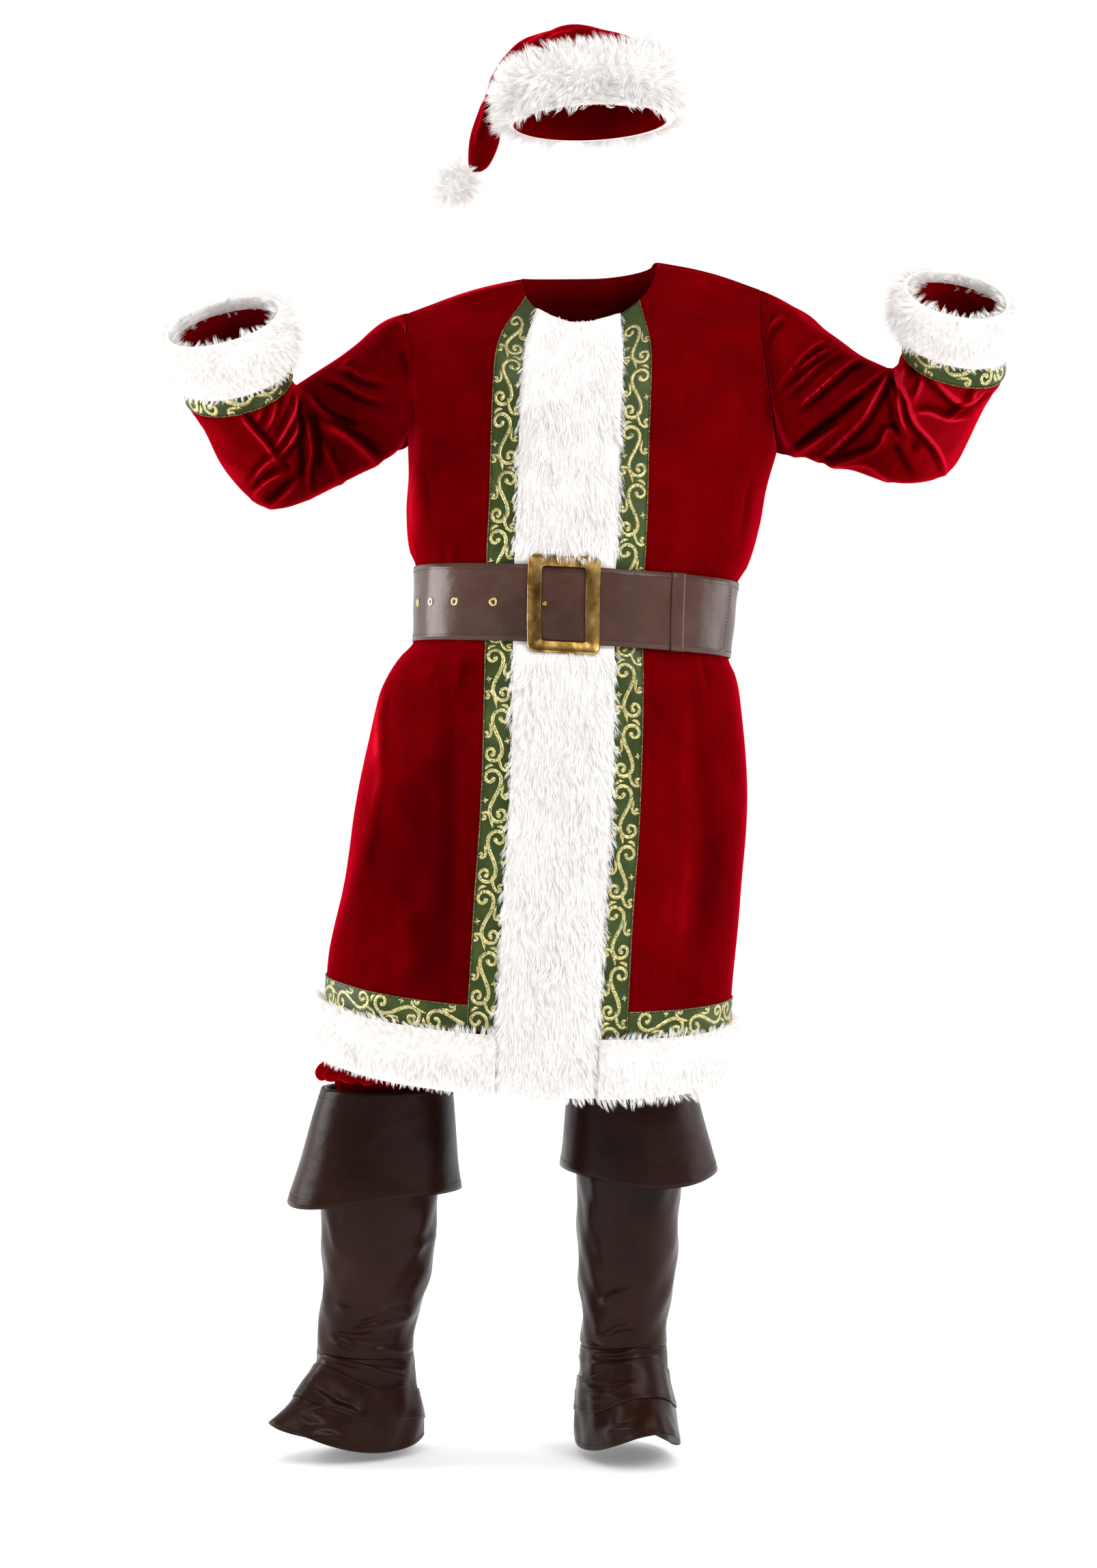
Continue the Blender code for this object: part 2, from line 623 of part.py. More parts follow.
# ------------------------------------------------------------------ sleeves


def armhole_loop(side):
    """Points and coat normals round the armhole: shoulder, front, armpit, back."""
    upper = [ARMPIT * (1 - k / UPPER_ROWS) for k in range(UPPER_ROWS + 1)]
    front, front_normals = coat_grid(side, "front", (2.0,), upper)
    back, back_normals = coat_grid(side, "back", (2.0,), upper)
    loop = np.concatenate([front[::-1, 0], back[1:-1, 0]])
    normals = np.concatenate([front_normals[::-1, 0], back_normals[1:-1, 0]])
    return loop, normals


def sleeve_section(row, before, after, count):
    inner = np.array([row[0], row[4], row[1]])
    outer = np.array([row[2], row[4], row[3]])
    middle = (inner + outer) / 2
    tall = (inner - outer) / 2
    way = np.array([
        (after[0] + after[2] - before[0] - before[2]) / 2,
        after[4] - before[4],
        (after[1] + after[3] - before[1] - before[3]) / 2,
    ])
    deep = unit(np.cross(way, tall))
    if deep[1] > 0:
        deep = -deep
    turn = np.arange(count) * 2 * math.pi / count
    cosine = np.sign(np.cos(turn)) * np.abs(np.cos(turn)) ** 0.93
    sine = np.sign(np.sin(turn)) * np.abs(np.sin(turn)) ** 0.93
    return middle + cosine[:, None] * tall + sine[:, None] * deep * row[5]


def sleeve_rings(side):
    """All the table's sections as rings of points, the armhole first."""
    table = SLEEVE_SECTIONS[side]
    loop, _ = armhole_loop(side)
    rings = [loop]
    for i, row in enumerate(table):
        before = table[max(i - 1, 0)]
        after = table[min(i + 1, len(table) - 1)]
        rings.append(sleeve_section(row, before, after, AROUND_SLEEVE))
    return np.array(rings)


def tube_at(rings, places):
    """Rings and their outward normals at these section numbers of a tube."""
    keys = np.arange(len(rings))
    last = len(rings) - 1
    made = []
    normals = []
    for place in places:
        low = max(place - 0.08, 0.0)
        high = min(place + 0.08, last)
        ring = through(keys, rings, place)
        along = through(keys, rings, high) - through(keys, rings, low)
        around = np.roll(ring, -1, axis=0) - np.roll(ring, 1, axis=0)
        normal = unit(np.cross(around, along))
        if (normal * (ring - ring.mean(axis=0))).sum() < 0:
            normal = -normal
        made.append(ring)
        normals.append(normal)
    return np.array(made), np.array(normals)


def build_sleeves():
    for side in ("right", "left"):
        sections = sleeve_rings(side)
        places = [0, 1, 2, 3, 4, 5, 6, 7.2, 8.2, 9, 9.55, 9.95, 10.5, SLEEVE_END]
        rings, normals = tube_at(sections, places)
        loop, normals[0] = armhole_loop(side)
        around = np.roll(loop, -1, axis=0) - np.roll(loop, 1, axis=0)
        away = unit(np.cross(around, normals[0]))
        inward = ((loop.mean(axis=0) - loop) * away).sum(axis=1)
        away = away * np.where(inward < 0, -1.0, 1.0)[:, None]
        rings[0] += 1.8 * GAP * away + 0.3 * GAP * unit(rings[1] - rings[0])
        shell("sleeve_" + side, rings, normals, 0.0, -CLOTH, "velvet", wrap=True)
        rings, normals = tube_at(sections, CUFF_TRIM)
        low = 1.5 * GAP
        shell("cuff_trim_" + side, rings, normals, low + TRIM_THICK, low, "trim", wrap=True)
        rings, normals = tube_at(sections, [row[0] for row in CUFF_FUR])
        reach = np.array([[row[1]] for row in CUFF_FUR])
        low = 2.5 * GAP + TRIM_THICK
        shell("cuff_fur_" + side, rings, normals, reach, low, "fur", wrap=True)


# ------------------------------------------------------------------ hat


def hat_sections(count=AROUND_HAT):
    turn = np.arange(count) * 2 * math.pi / count
    rings = []
    for left_x, left_z, right_x, right_z, y, deep in HAT_SECTIONS:
        middle = np.array([(left_x + right_x) / 2, y, (left_z + right_z) / 2])
        wide = np.array([(left_x - right_x) / 2, 0.0, (left_z - right_z) / 2])
        back = np.array([0.0, deep, 0.0])
        rings.append(middle + np.cos(turn)[:, None] * wide - np.sin(turn)[:, None] * back)
    return np.array(rings)


def pressed_share(count):
    """The hanging tail presses the fur band flat behind its right end."""
    degrees = np.arange(count) * 360 / count
    degrees = (360 - degrees) % 360
    pressed = np.clip(degrees / 14, 0, 1) * np.clip((84 - degrees) / 18, 0, 1)
    return 1.0 - 0.74 * pressed


def build_hat():
    sections = hat_sections()
    fur_places = [row[0] for row in HAT_FUR]
    places = fur_places + [2.2, 3.2, 4.2, 5.1, 6, 7, 8, 9.2, 10.5, 12]
    rings, normals = tube_at(sections, places)
    shell("hat_crown", rings, normals, 0.0, -CLOTH, "velvet", wrap=True, cap=True)
    rings, normals = tube_at(sections, fur_places)
    reach = np.array([[row[1]] for row in HAT_FUR])
    reach = np.maximum(reach * pressed_share(AROUND_HAT), 0.004)
    shell("hat_fur_band", rings, normals, reach, 2 * GAP, "fur", wrap=True)
    bpy.ops.mesh.primitive_ico_sphere_add(subdivisions=3, radius=POM_RADIUS, location=POM_CENTRE)
    pom = bpy.context.object
    pom.data.shade_smooth()
    pom.name = "hat_pom"
    pom.data.name = "hat_pom"
    for held in list(pom.users_collection):
        held.objects.unlink(pom)
    bpy.data.collections["santa_suit"].objects.link(pom)
    pom.data.materials.append(material("fur", "hat_pom"))


# ------------------------------------------------------------------ trousers


def trouser_grid(side, face):
    """A quarter of the trousers from the centre seam to the outer seam, its normals and fork row."""
    sign = -1.0 if face == "front" else 1.0
    rows = []
    for inner_x, outer_x, middle_y, front, back, z, turned in TROUSER_SECTIONS[side]:
        depth = front if face == "front" else back
        start = math.acos(-turned / (1 - turned))
        turn = np.linspace(start, 0.0, AROUND_LEG + 1)
        centre_x = inner_x + (outer_x - inner_x) * turned
        x = centre_x + (outer_x - centre_x) * np.cos(turn)
        y = middle_y + sign * depth * np.sin(turn)
        rows.append(np.stack([x, y, np.full_like(x, z)], axis=1))
    points = np.array(rows)
    normals = np.cross(np.gradient(points, axis=1), np.gradient(points, axis=0))
    if (side == "right") == (face == "front"):
        normals = -normals
    normals[:, -1, 1] = 0.0
    fork = [row[-1] for row in TROUSER_SECTIONS[side]].index(0.5)
    normals[:fork, 0, 0] = 0.0
    normals[fork, 0] = (0.0, 0.0, -1.0)
    normals[fork + 1 :, 0, 1] = 0.0
    return points, unit(normals), fork


def build_trousers():
    half_gap = GAP / 2
    for side in ("right", "left"):
        way = 1.0 if side == "left" else -1.0
        for face in ("front", "back"):
            points, normals, fork = trouser_grid(side, face)
            centre = points[: fork + 1, 0].copy()
            points = inset(points, half_gap, half_gap, half_gap, 0.0)
            centre[:, 0] += way * half_gap
            centre[-1, 0] += way * 3 * GAP
            centre[-1, 1] += (-1.0 if face == "front" else 1.0) * half_gap
            points[: fork + 1, 0] = centre
            shell("trouser_" + face + "_" + side, points, normals, 0.0, -CLOTH, "velvet")
    build_waistband()


def build_waistband():
    right, left = TROUSER_SECTIONS["right"][0], TROUSER_SECTIONS["left"][0]
    turn = np.arange(24) * 2 * math.pi / 24
    reach = np.where(np.cos(turn) > 0, left[1] - left[0], right[0] - right[1])
    depth = np.where(np.sin(turn) < 0, right[3], right[4])
    x = right[0] + reach * np.cos(turn)
    y = depth * np.sin(turn)
    heights = (GAP, 0.018, 0.036)
    rings = np.array([np.stack([x, y, np.full_like(x, right[5] + h)], axis=1) for h in heights])
    shell("trouser_waistband", rings, ring_normals(rings), 0.0, -0.003, "velvet", wrap=True)


# ------------------------------------------------------------------ boot covers


def boot_rings(table, turned, count=AROUND_BOOT):
    forward = np.array([turned[0], turned[1], 0.0])
    sideways = np.array([-turned[1], turned[0], 0.0])
    turn = np.arange(count) * 2 * math.pi / count
    rings = []
    for x, y, front, back, wide, z_front, z_side, z_back in table:
        reach = np.where(np.cos(turn) > 0, front, back) * np.cos(turn)
        ahead = np.clip(np.cos(turn), 0, 1) ** 2
        behind = np.clip(-np.cos(turn), 0, 1) ** 2
        z = z_side + (z_front - z_side) * ahead + (z_back - z_side) * behind
        across = wide * np.sin(turn)
        ring = np.array([x, y, 0.0]) + reach[:, None] * forward + across[:, None] * sideways
        ring[:, 2] = z
        rings.append(ring)
    return np.array(rings)


def build_boots():
    for side in ("right", "left"):
        turned = BOOT_TURN[side]
        for piece, table, level_row in (
            ("boot_shaft_", BOOT_SHAFT, -1),
            ("boot_cuff_", BOOT_CUFF, None),
            ("boot_flap_", BOOT_FLAP, 0),
        ):
            rings = boot_rings(table[side], turned)
            normals = ring_normals(rings)
            if level_row is not None:
                normals[level_row, :, 2] = 0.0
            normals = unit(normals)
            shell(piece + side, rings, normals, 0.0, -LEATHER, "boot_leather", wrap=True)
        over = GAP + 0.0012
        rings, normals = rings[1:3], normals[1:3]
        shell("boot_strap_" + side, rings, normals, over, GAP, "boot_leather", wrap=True)


# ------------------------------------------------------------------ belt


def belt_rest(column, curve):
    """How far the belt stands off the coat: over the fur band, over the trim, then on the velvet."""
    at = distance_of(curve, "front", column)
    places = (0.0, FUR_HALF, TRIM_EDGE, TRIM_EDGE + 0.03)
    return float(np.interp(at, places, (FUR_REST, FUR_REST, 0.0024, 0.0010)))


def belt_station(side, face, column, rise, levels):
    points, normals = coat_grid(side, face, (column,), levels)
    curve = row_curve(side, face, levels[1])
    rest = belt_rest(column, curve) if face == "front" else 0.0010
    return points[:, 0], normals[:, 0], rest + rise


def build_belt():
    """The strap starts under the buckle, goes round the back and ends past the buckle on top."""
    levels = (BELT_LOW, BELT_MIDDLE, BELT_TOP)
    runs = (
        ("left", "front", (0.040,) + FRONT_COLUMNS[2:], 0.0),
        ("left", "back", BACK_COLUMNS[-2::-1], 0.0),
        ("right", "back", BACK_COLUMNS[1:], 0.0),
        ("right", "front", FRONT_COLUMNS[-2:3:-1], 0.0),
        ("right", "front", FRONT_COLUMNS[3::-1], BELT_LAYER),
        ("left", "front", FRONT_COLUMNS[1:7], BELT_LAYER),
    )
    stations = []
    for side, face, columns, rise in runs:
        stations += [belt_station(side, face, column, rise, levels) for column in columns]
    mid = BELT_MIDDLE
    for column, half in ((BELT_TIP - 0.014, 0.0465), (BELT_TIP - 0.004, 0.038), (BELT_TIP, 0.026)):
        levels = (mid - half, mid, mid + half)
        stations.append(belt_station("left", "front", column, BELT_LAYER, levels))
    points = np.array([s[0] for s in stations]).transpose(1, 0, 2)
    normals = np.array([s[1] for s in stations]).transpose(1, 0, 2)
    rest = np.array([s[2] for s in stations])[None, :]
    strap = shell("belt_strap", points, normals, rest + BELT_THICK, rest, "belt_leather")
    build_eyelets(strap)
    build_keeper()
    build_buckle()


def place_on_belt(side, column):
    points, normals = coat_grid(side, "front", (column,), (BELT_MIDDLE,))
    return points[0, 0], normals[0, 0]


def lathe(profile, centre, axis, count):
    """A closed profile of (radius, height) pairs turned about an axis through the centre."""
    axis = unit(np.asarray(axis, float))
    first = unit(np.cross(axis, (0.0, 0.0, 1.0)))
    second = np.cross(axis, first)
    points = []
    faces = []
    for k in range(count):
        a = 2 * math.pi * k / count
        out = first * math.cos(a) + second * math.sin(a)
        points += [centre + out * radius + axis * height for radius, height in profile]
    n = len(profile)
    for k in range(count):
        m = (k + 1) % count
        for i in range(n):
            j = (i + 1) % n
            faces.append((k * n + i, k * n + j, m * n + j, m * n + i))
    tris = [t for a, b, c, d in faces for t in ((a, b, c), (a, c, d))]
    return np.array(points), outward(points, tris)


def build_eyelets(strap):
    for number, column in enumerate(EYELET_PLACES, 1):
        point, normal = place_on_belt("right", column)
        curve = row_curve("right", "front", BELT_MIDDLE)
        at = distance_of(curve, "front", column)
        rest = belt_rest(column, curve) + np.interp(at, (FUR_HALF, TRIM_EDGE), (BELT_LAYER, 0.0))
        hole = EYELET_HOLE
        side_line = ((0.0, -0.008), (hole, -0.008), (hole, 0.012))
        cutter = add_turned("cut_eyelet_%d" % number, side_line, 0.012, point, normal, None)
        cut = strap.modifiers.new("eyelet_%d" % number, "BOOLEAN")
        cut.operation = "DIFFERENCE"
        cut.solver = "EXACT"
        cut.object = cutter
        top = rest + BELT_THICK
        profile = (
            (0.0018, rest + 0.0004),
            (hole - GAP, rest + 0.0004),
            (hole - GAP, top + 0.0006),
            (EYELET_FLANGE, top + 0.0006),
            (EYELET_FLANGE - 0.0010, top + 0.0016),
            (0.0018, top + 0.0016),
        )
        points, faces = lathe(profile, point, normal, EYELET_SIDES)
        add_mesh("belt_eyelet_%d" % number, points, faces, "brass")


def build_keeper():
    """A leather loop round both layers, with its ends turned in over the belt's edges."""
    columns = (KEEPER[0], (KEEPER[0] + KEEPER[1]) / 2, KEEPER[1])
    curve = row_curve("left", "front", BELT_MIDDLE)
    inside = belt_rest(columns[0], curve) + BELT_LAYER + BELT_THICK + 0.0006
    thick = 0.0016
    low, high = BELT_LOW - GAP, BELT_TOP + GAP
    levels = (low - thick, low, BELT_MIDDLE, high, high + thick)
    points, normals = coat_grid("left", "front", columns, levels)
    # The rows beside the turned ends are doubled, so that the ends stay square.
    doubled = [0, 1, 1, 2, 3, 3, 4]
    bottom = np.array([thick, thick, inside, inside, inside, thick, thick])[:, None]
    points = points[doubled]
    normals = normals[doubled]
    shell("belt_keeper", points, normals, inside + thick, bottom, "belt_leather")


def rounded_rectangle(half_width, half_height, corner, each=4):
    """Rounded corners, with two points more on each straight side."""
    corners = []
    for cx, cy, start in ((1, 1, 0), (-1, 1, 90), (-1, -1, 180), (1, -1, 270)):
        for k in range(each + 1):
            a = math.radians(start + 90 * k / each)
            x = cx * (half_width - corner) + corner * math.cos(a)
            corners.append((x, cy * (half_height - corner) + corner * math.sin(a)))
    loop = []
    for i, (x, y) in enumerate(corners):
        loop.append((x, y))
        if i % (each + 1) == each:
            ahead = corners[(i + 1) % len(corners)]
            for t in (1 / 3, 2 / 3):
                loop.append((x + (ahead[0] - x) * t, y + (ahead[1] - y) * t))
    return loop


def on_belt_front(across, level, out):
    side = "left" if across >= 0 else "right"
    points, normals = coat_grid(side, "front", (abs(across),), (level,))
    return points[0, 0] + normals[0, 0] * out


def build_buckle():
    base = FUR_REST + BELT_LAYER + BELT_THICK + 0.0006
    wide = BUCKLE_HALF_WIDTH - BUCKLE_BAR
    tall = BUCKLE_HALF_HEIGHT - BUCKLE_BAR * 0.92
    outer = rounded_rectangle(BUCKLE_HALF_WIDTH, BUCKLE_HALF_HEIGHT, BUCKLE_CORNER)
    window = rounded_rectangle(wide, tall, 0.004)
    points = []
    for loop, out in ((outer, 0.0), (outer, 0.7), (window, 1.0), (window, 0.0)):
        for x, y in loop:
            points.append(on_belt_front(x, BELT_MIDDLE + y, base + BUCKLE_THICK * out))
    n = len(outer)
    faces = []
    for a, b in ((0, 1), (1, 2), (2, 3), (3, 0)):
        for k in range(n):
            m = (k + 1) % n
            one, two, three, four = a * n + k, a * n + m, b * n + m, b * n + k
            faces += [(one, two, three), (one, three, four)]
    add_mesh("buckle_frame", points, outward(points, faces), "brass")
    point, normal = place_on_belt("right", wide - 0.0040)
    bottom = base - 0.0002
    profile = [(0.0, bottom), (0.0026, bottom)]
    for k in range(4):
        a = math.radians(90 * k / 3)
        profile.append((0.0032 * math.cos(a), bottom + 0.0012 + 0.0024 * math.sin(a)))
    add_turned("buckle_prong", profile[:-1], profile[-1][1], point, normal, "brass")


def add_turned(name, profile, top, centre, axis, kind):
    """A solid turned about an axis, from its base centre by (radius, height) to its top centre."""
    axis = unit(np.asarray(axis, float))
    first = unit(np.cross(axis, (0.0, 0.0, 1.0)))
    second = np.cross(axis, first)
    rings = profile[1:]
    count = EYELET_SIDES
    points = [centre + axis * profile[0][1], centre + axis * top]
    for radius, height in rings:
        for k in range(count):
            a = 2 * math.pi * k / count
            out = first * math.cos(a) + second * math.sin(a)
            points.append(centre + axis * height + out * radius)
    faces = []
    last = 2 + (len(rings) - 1) * count
    for k in range(count):
        m = (k + 1) % count
        faces.append((0, 2 + m, 2 + k))
        faces.append((1, last + k, last + m))
        for i in range(len(rings) - 1):
            a, b = 2 + i * count, 2 + (i + 1) * count
            faces += [(a + k, a + m, b + m), (a + k, b + m, b + k)]
    return add_mesh(name, points, outward(points, faces), kind)


def main():
    clear_scene()
    build_coat()
    build_fur_band()
    build_trims()
    build_fur_hem()
    build_sleeves()
    build_hat()
    build_trousers()
    build_boots()
    build_belt()


main()
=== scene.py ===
"""Santa suit as worn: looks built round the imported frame.

Metres, +Z up, front towards -Y, +X towards the wearer's left. Right and left are the wearer's.
Cloth follows the same sections as the solids, with creases, seams, fur, ribbon and stitches added.
"""

import functools
import json
import math

import bpy
import numpy as np
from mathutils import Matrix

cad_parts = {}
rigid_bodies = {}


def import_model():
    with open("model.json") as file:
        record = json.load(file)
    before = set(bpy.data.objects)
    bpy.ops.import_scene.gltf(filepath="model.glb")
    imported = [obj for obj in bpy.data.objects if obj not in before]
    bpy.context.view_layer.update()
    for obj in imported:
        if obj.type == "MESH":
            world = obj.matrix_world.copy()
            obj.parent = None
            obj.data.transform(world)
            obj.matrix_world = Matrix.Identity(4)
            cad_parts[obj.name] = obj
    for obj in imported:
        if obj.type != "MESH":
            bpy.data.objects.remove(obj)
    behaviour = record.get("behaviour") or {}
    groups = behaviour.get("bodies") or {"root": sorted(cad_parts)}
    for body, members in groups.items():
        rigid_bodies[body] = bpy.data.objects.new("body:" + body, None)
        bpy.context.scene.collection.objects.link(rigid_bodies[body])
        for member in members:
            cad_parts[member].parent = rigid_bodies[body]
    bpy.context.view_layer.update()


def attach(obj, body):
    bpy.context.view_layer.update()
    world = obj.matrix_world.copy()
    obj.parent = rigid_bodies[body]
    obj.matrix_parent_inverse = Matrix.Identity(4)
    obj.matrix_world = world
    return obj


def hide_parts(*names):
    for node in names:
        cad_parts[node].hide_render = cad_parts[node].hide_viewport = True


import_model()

# ---- driving sizes

CLOTH = 0.0018
LEATHER = 0.0016
GAP = 0.0003
FUR_HALF = 0.062
TRIM_EDGE = 0.098
TRIM_THICK = 0.001
BELT_THICK = 0.0023
ARMPIT = -0.2132
BELT_LOW = -0.468
BELT_TOP = -0.373
TRIM_TOP = -0.892
FUR_TOP = -0.924
HEM = -0.983
SQUARENESS = 2.25
SEAM_DEPTH = 0.0012
SEAM_WIDTH = 0.004

# Coat sections: level, x at the right side, x at the left side, front depth, back depth,
# x of the band's centre, drop of the front, slope towards the wearer's left
COAT_SECTIONS = (
    (-1.015, -0.34, 0.176, 0.187, 0.16, -0.058, 0.026, 0.056),
    (-0.983, -0.339, 0.177, 0.187, 0.16, -0.0565, 0.025, 0.056),
    (-0.909, -0.336, 0.178, 0.185, 0.158, -0.0545, 0.021, 0.056),
    (-0.857, -0.3315, 0.181, 0.184, 0.156, -0.0515, 0.018, 0.056),
    (-0.77, -0.3125, 0.191, 0.182, 0.152, -0.0465, 0.013, 0.055),
    (-0.683, -0.3, 0.1985, 0.181, 0.15, -0.04, 0.009, 0.054),
    (-0.596, -0.282, 0.1975, 0.181, 0.148, -0.0365, 0.005, 0.053),
    (-0.515, -0.258, 0.19, 0.18, 0.145, -0.035, 0.001, 0.052),
    (-0.488, -0.242, 0.184, 0.177, 0.139, -0.035, 0.0, 0.052),
    (-0.468, -0.2245, 0.175, 0.1705, 0.13, -0.035, 0.0, 0.052),
    (-0.4205, -0.2225, 0.1805, 0.17, 0.13, -0.035, 0.0, 0.052),
    (-0.373, -0.2215, 0.1865, 0.1695, 0.13, -0.0335, 0.0, 0.052),
    (-0.35, -0.2315, 0.2, 0.1735, 0.136, -0.0325, 0.0, 0.05),
    (-0.3, -0.2345, 0.214, 0.17, 0.137, -0.03, 0.0, 0.04),
    (-0.255, -0.2315, 0.2225, 0.161, 0.134, -0.029, 0.0, 0.028),
    (-0.2132, -0.2325, 0.2365, 0.151, 0.13, -0.028, 0.0, 0.017),
)
BELT_MIDDLE = (BELT_LOW + BELT_TOP) / 2

# Two sections above the armpit: height share, depth at the centre, z at the centre,
# edge x, edge y, edge z, roundness. One table for each quarter of the coat.
UPPER_SECTIONS = {
    ("right", "front"): (
        (1 / 3, 0.143, -0.166, -0.2365, 0.066, -0.152, 3.0),
        (2 / 3, 0.12, -0.117, -0.2335, 0.062, -0.092, 2.4),
    ),
    ("left", "front"): (
        (1 / 3, 0.143, -0.166, 0.224, 0.066, -0.15, 3.0),
        (2 / 3, 0.12, -0.117, 0.2145, 0.062, -0.08, 2.4),
    ),
    ("right", "back"): (
        (1 / 3, 0.128, -0.15, -0.23, 0.066, -0.152, 3.0),
        (2 / 3, 0.11, -0.072, -0.229, 0.06, -0.092, 2.4),
    ),
    ("left", "back"): (
        (1 / 3, 0.128, -0.15, 0.224, 0.066, -0.15, 3.0),
        (2 / 3, 0.11, -0.072, 0.2145, 0.06, -0.08, 2.4),
    ),
}
NECK_FRONT = (-0.02, -0.085, -0.068)
NECK_BACK = (0.0, 0.05, 0.014)
NECK_POINT = {"right": (-0.088, 0.0, 0.006), "left": (0.085, 0.0, 0.028)}
SHOULDER = {"right": (-0.231, 0.0, -0.037), "left": (0.216, 0.0, -0.008)}

# Front fur: distance from the centre line, reach
FRONT_FUR = ((0.0, 0.0115), (0.031, 0.0105), (0.052, 0.008), (FUR_HALF, 0.0026))
# Hem fur: level, reach
HEM_FUR = ((-0.992, 0.007), (HEM, 0.018), (-0.955, 0.024), (-0.934, 0.018), (FUR_TOP, 0.006))

# Sleeve sections after the armhole: inner x, inner z, outer x, outer z, y, half depth
SLEEVE_SECTIONS = {
    "right": (
        (-0.262, -0.05, -0.254, -0.22, -0.012, 0.078),
        (-0.296, -0.08, -0.283, -0.241, -0.027, 0.076),
        (-0.33, -0.108, -0.318, -0.263, -0.043, 0.074),
        (-0.358, -0.131, -0.362, -0.283, -0.06, 0.072),
        (-0.3685, -0.1395, -0.4, -0.293, -0.07, 0.071),
        (-0.3715, -0.1395, -0.432, -0.275, -0.08, 0.07),
        (-0.3725, -0.137, -0.457, -0.242, -0.092, 0.068),
        (-0.3725, -0.1335, -0.48, -0.201, -0.11, 0.067),
        (-0.3705, -0.129, -0.5, -0.162, -0.135, 0.066),
        (-0.375, -0.102, -0.505, -0.132, -0.155, 0.066),
        (-0.383, -0.068, -0.512, -0.1, -0.175, 0.066),
        (-0.389, -0.044, -0.518, -0.078, -0.189, 0.066),
    ),
    "left": (
        (0.257, -0.031, 0.27, -0.223, -0.013, 0.08),
        (0.29, -0.059, 0.308, -0.235, -0.027, 0.077),
        (0.322, -0.088, 0.342, -0.246, -0.043, 0.075),
        (0.358, -0.11, 0.376, -0.258, -0.06, 0.073),
        (0.379, -0.1165, 0.412, -0.262, -0.07, 0.072),
        (0.3845, -0.115, 0.443, -0.248, -0.08, 0.071),
        (0.3865, -0.1115, 0.465, -0.217, -0.092, 0.069),
        (0.3865, -0.1065, 0.487, -0.173, -0.11, 0.067),
        (0.384, -0.099, 0.507, -0.13, -0.135, 0.065),
        (0.384, -0.068, 0.503, -0.094, -0.155, 0.062),
        (0.385, -0.039, 0.501, -0.062, -0.175, 0.06),
        (0.386, -0.018, 0.5, -0.041, -0.189, 0.06),
    ),
}
SLEEVE_END = 10.85
CUFF_TRIM = (9.0, 9.95)
# Fur cuff: section number, reach of the fur
CUFF_FUR = ((9.55, 0.006), (9.95, 0.02), (10.5, 0.026), (11.05, 0.02), (11.35, 0.008))

# Hat sections: left x, left z, right x, right z, y, half depth
HAT_SECTIONS = (
    (-0.098, 0.2, 0.098, 0.208, 0.0, 0.108),
    (-0.1, 0.258, 0.096, 0.27, 0.0, 0.108),
    (-0.101, 0.269, 0.068, 0.299, 0.004, 0.1),
    (-0.102, 0.273, 0.02, 0.321, 0.014, 0.088),
    (-0.103, 0.274, -0.03, 0.3265, 0.028, 0.074),
    (-0.1045, 0.273, -0.076, 0.317, 0.042, 0.062),
    (-0.107, 0.267, -0.1065, 0.2975, 0.054, 0.053),
    (-0.1085, 0.256, -0.127, 0.2725, 0.06, 0.047),
    (-0.11, 0.237, -0.139, 0.239, 0.064, 0.043),
    (-0.113, 0.21, -0.151, 0.209, 0.066, 0.038),
    (-0.119, 0.184, -0.1565, 0.181, 0.064, 0.031),
    (-0.13, 0.164, -0.156, 0.159, 0.058, 0.02),
    (-0.14, 0.154, -0.15, 0.152, 0.052, 0.006),
)
# Hat fur: section number, reach of the fur
HAT_FUR = ((0.0, 0.012), (0.2, 0.021), (0.6, 0.024), (1.0, 0.019), (1.4, 0.007))
POM_CENTRE = (-0.1735, 0.04, 0.133)
POM_RADIUS = 0.031

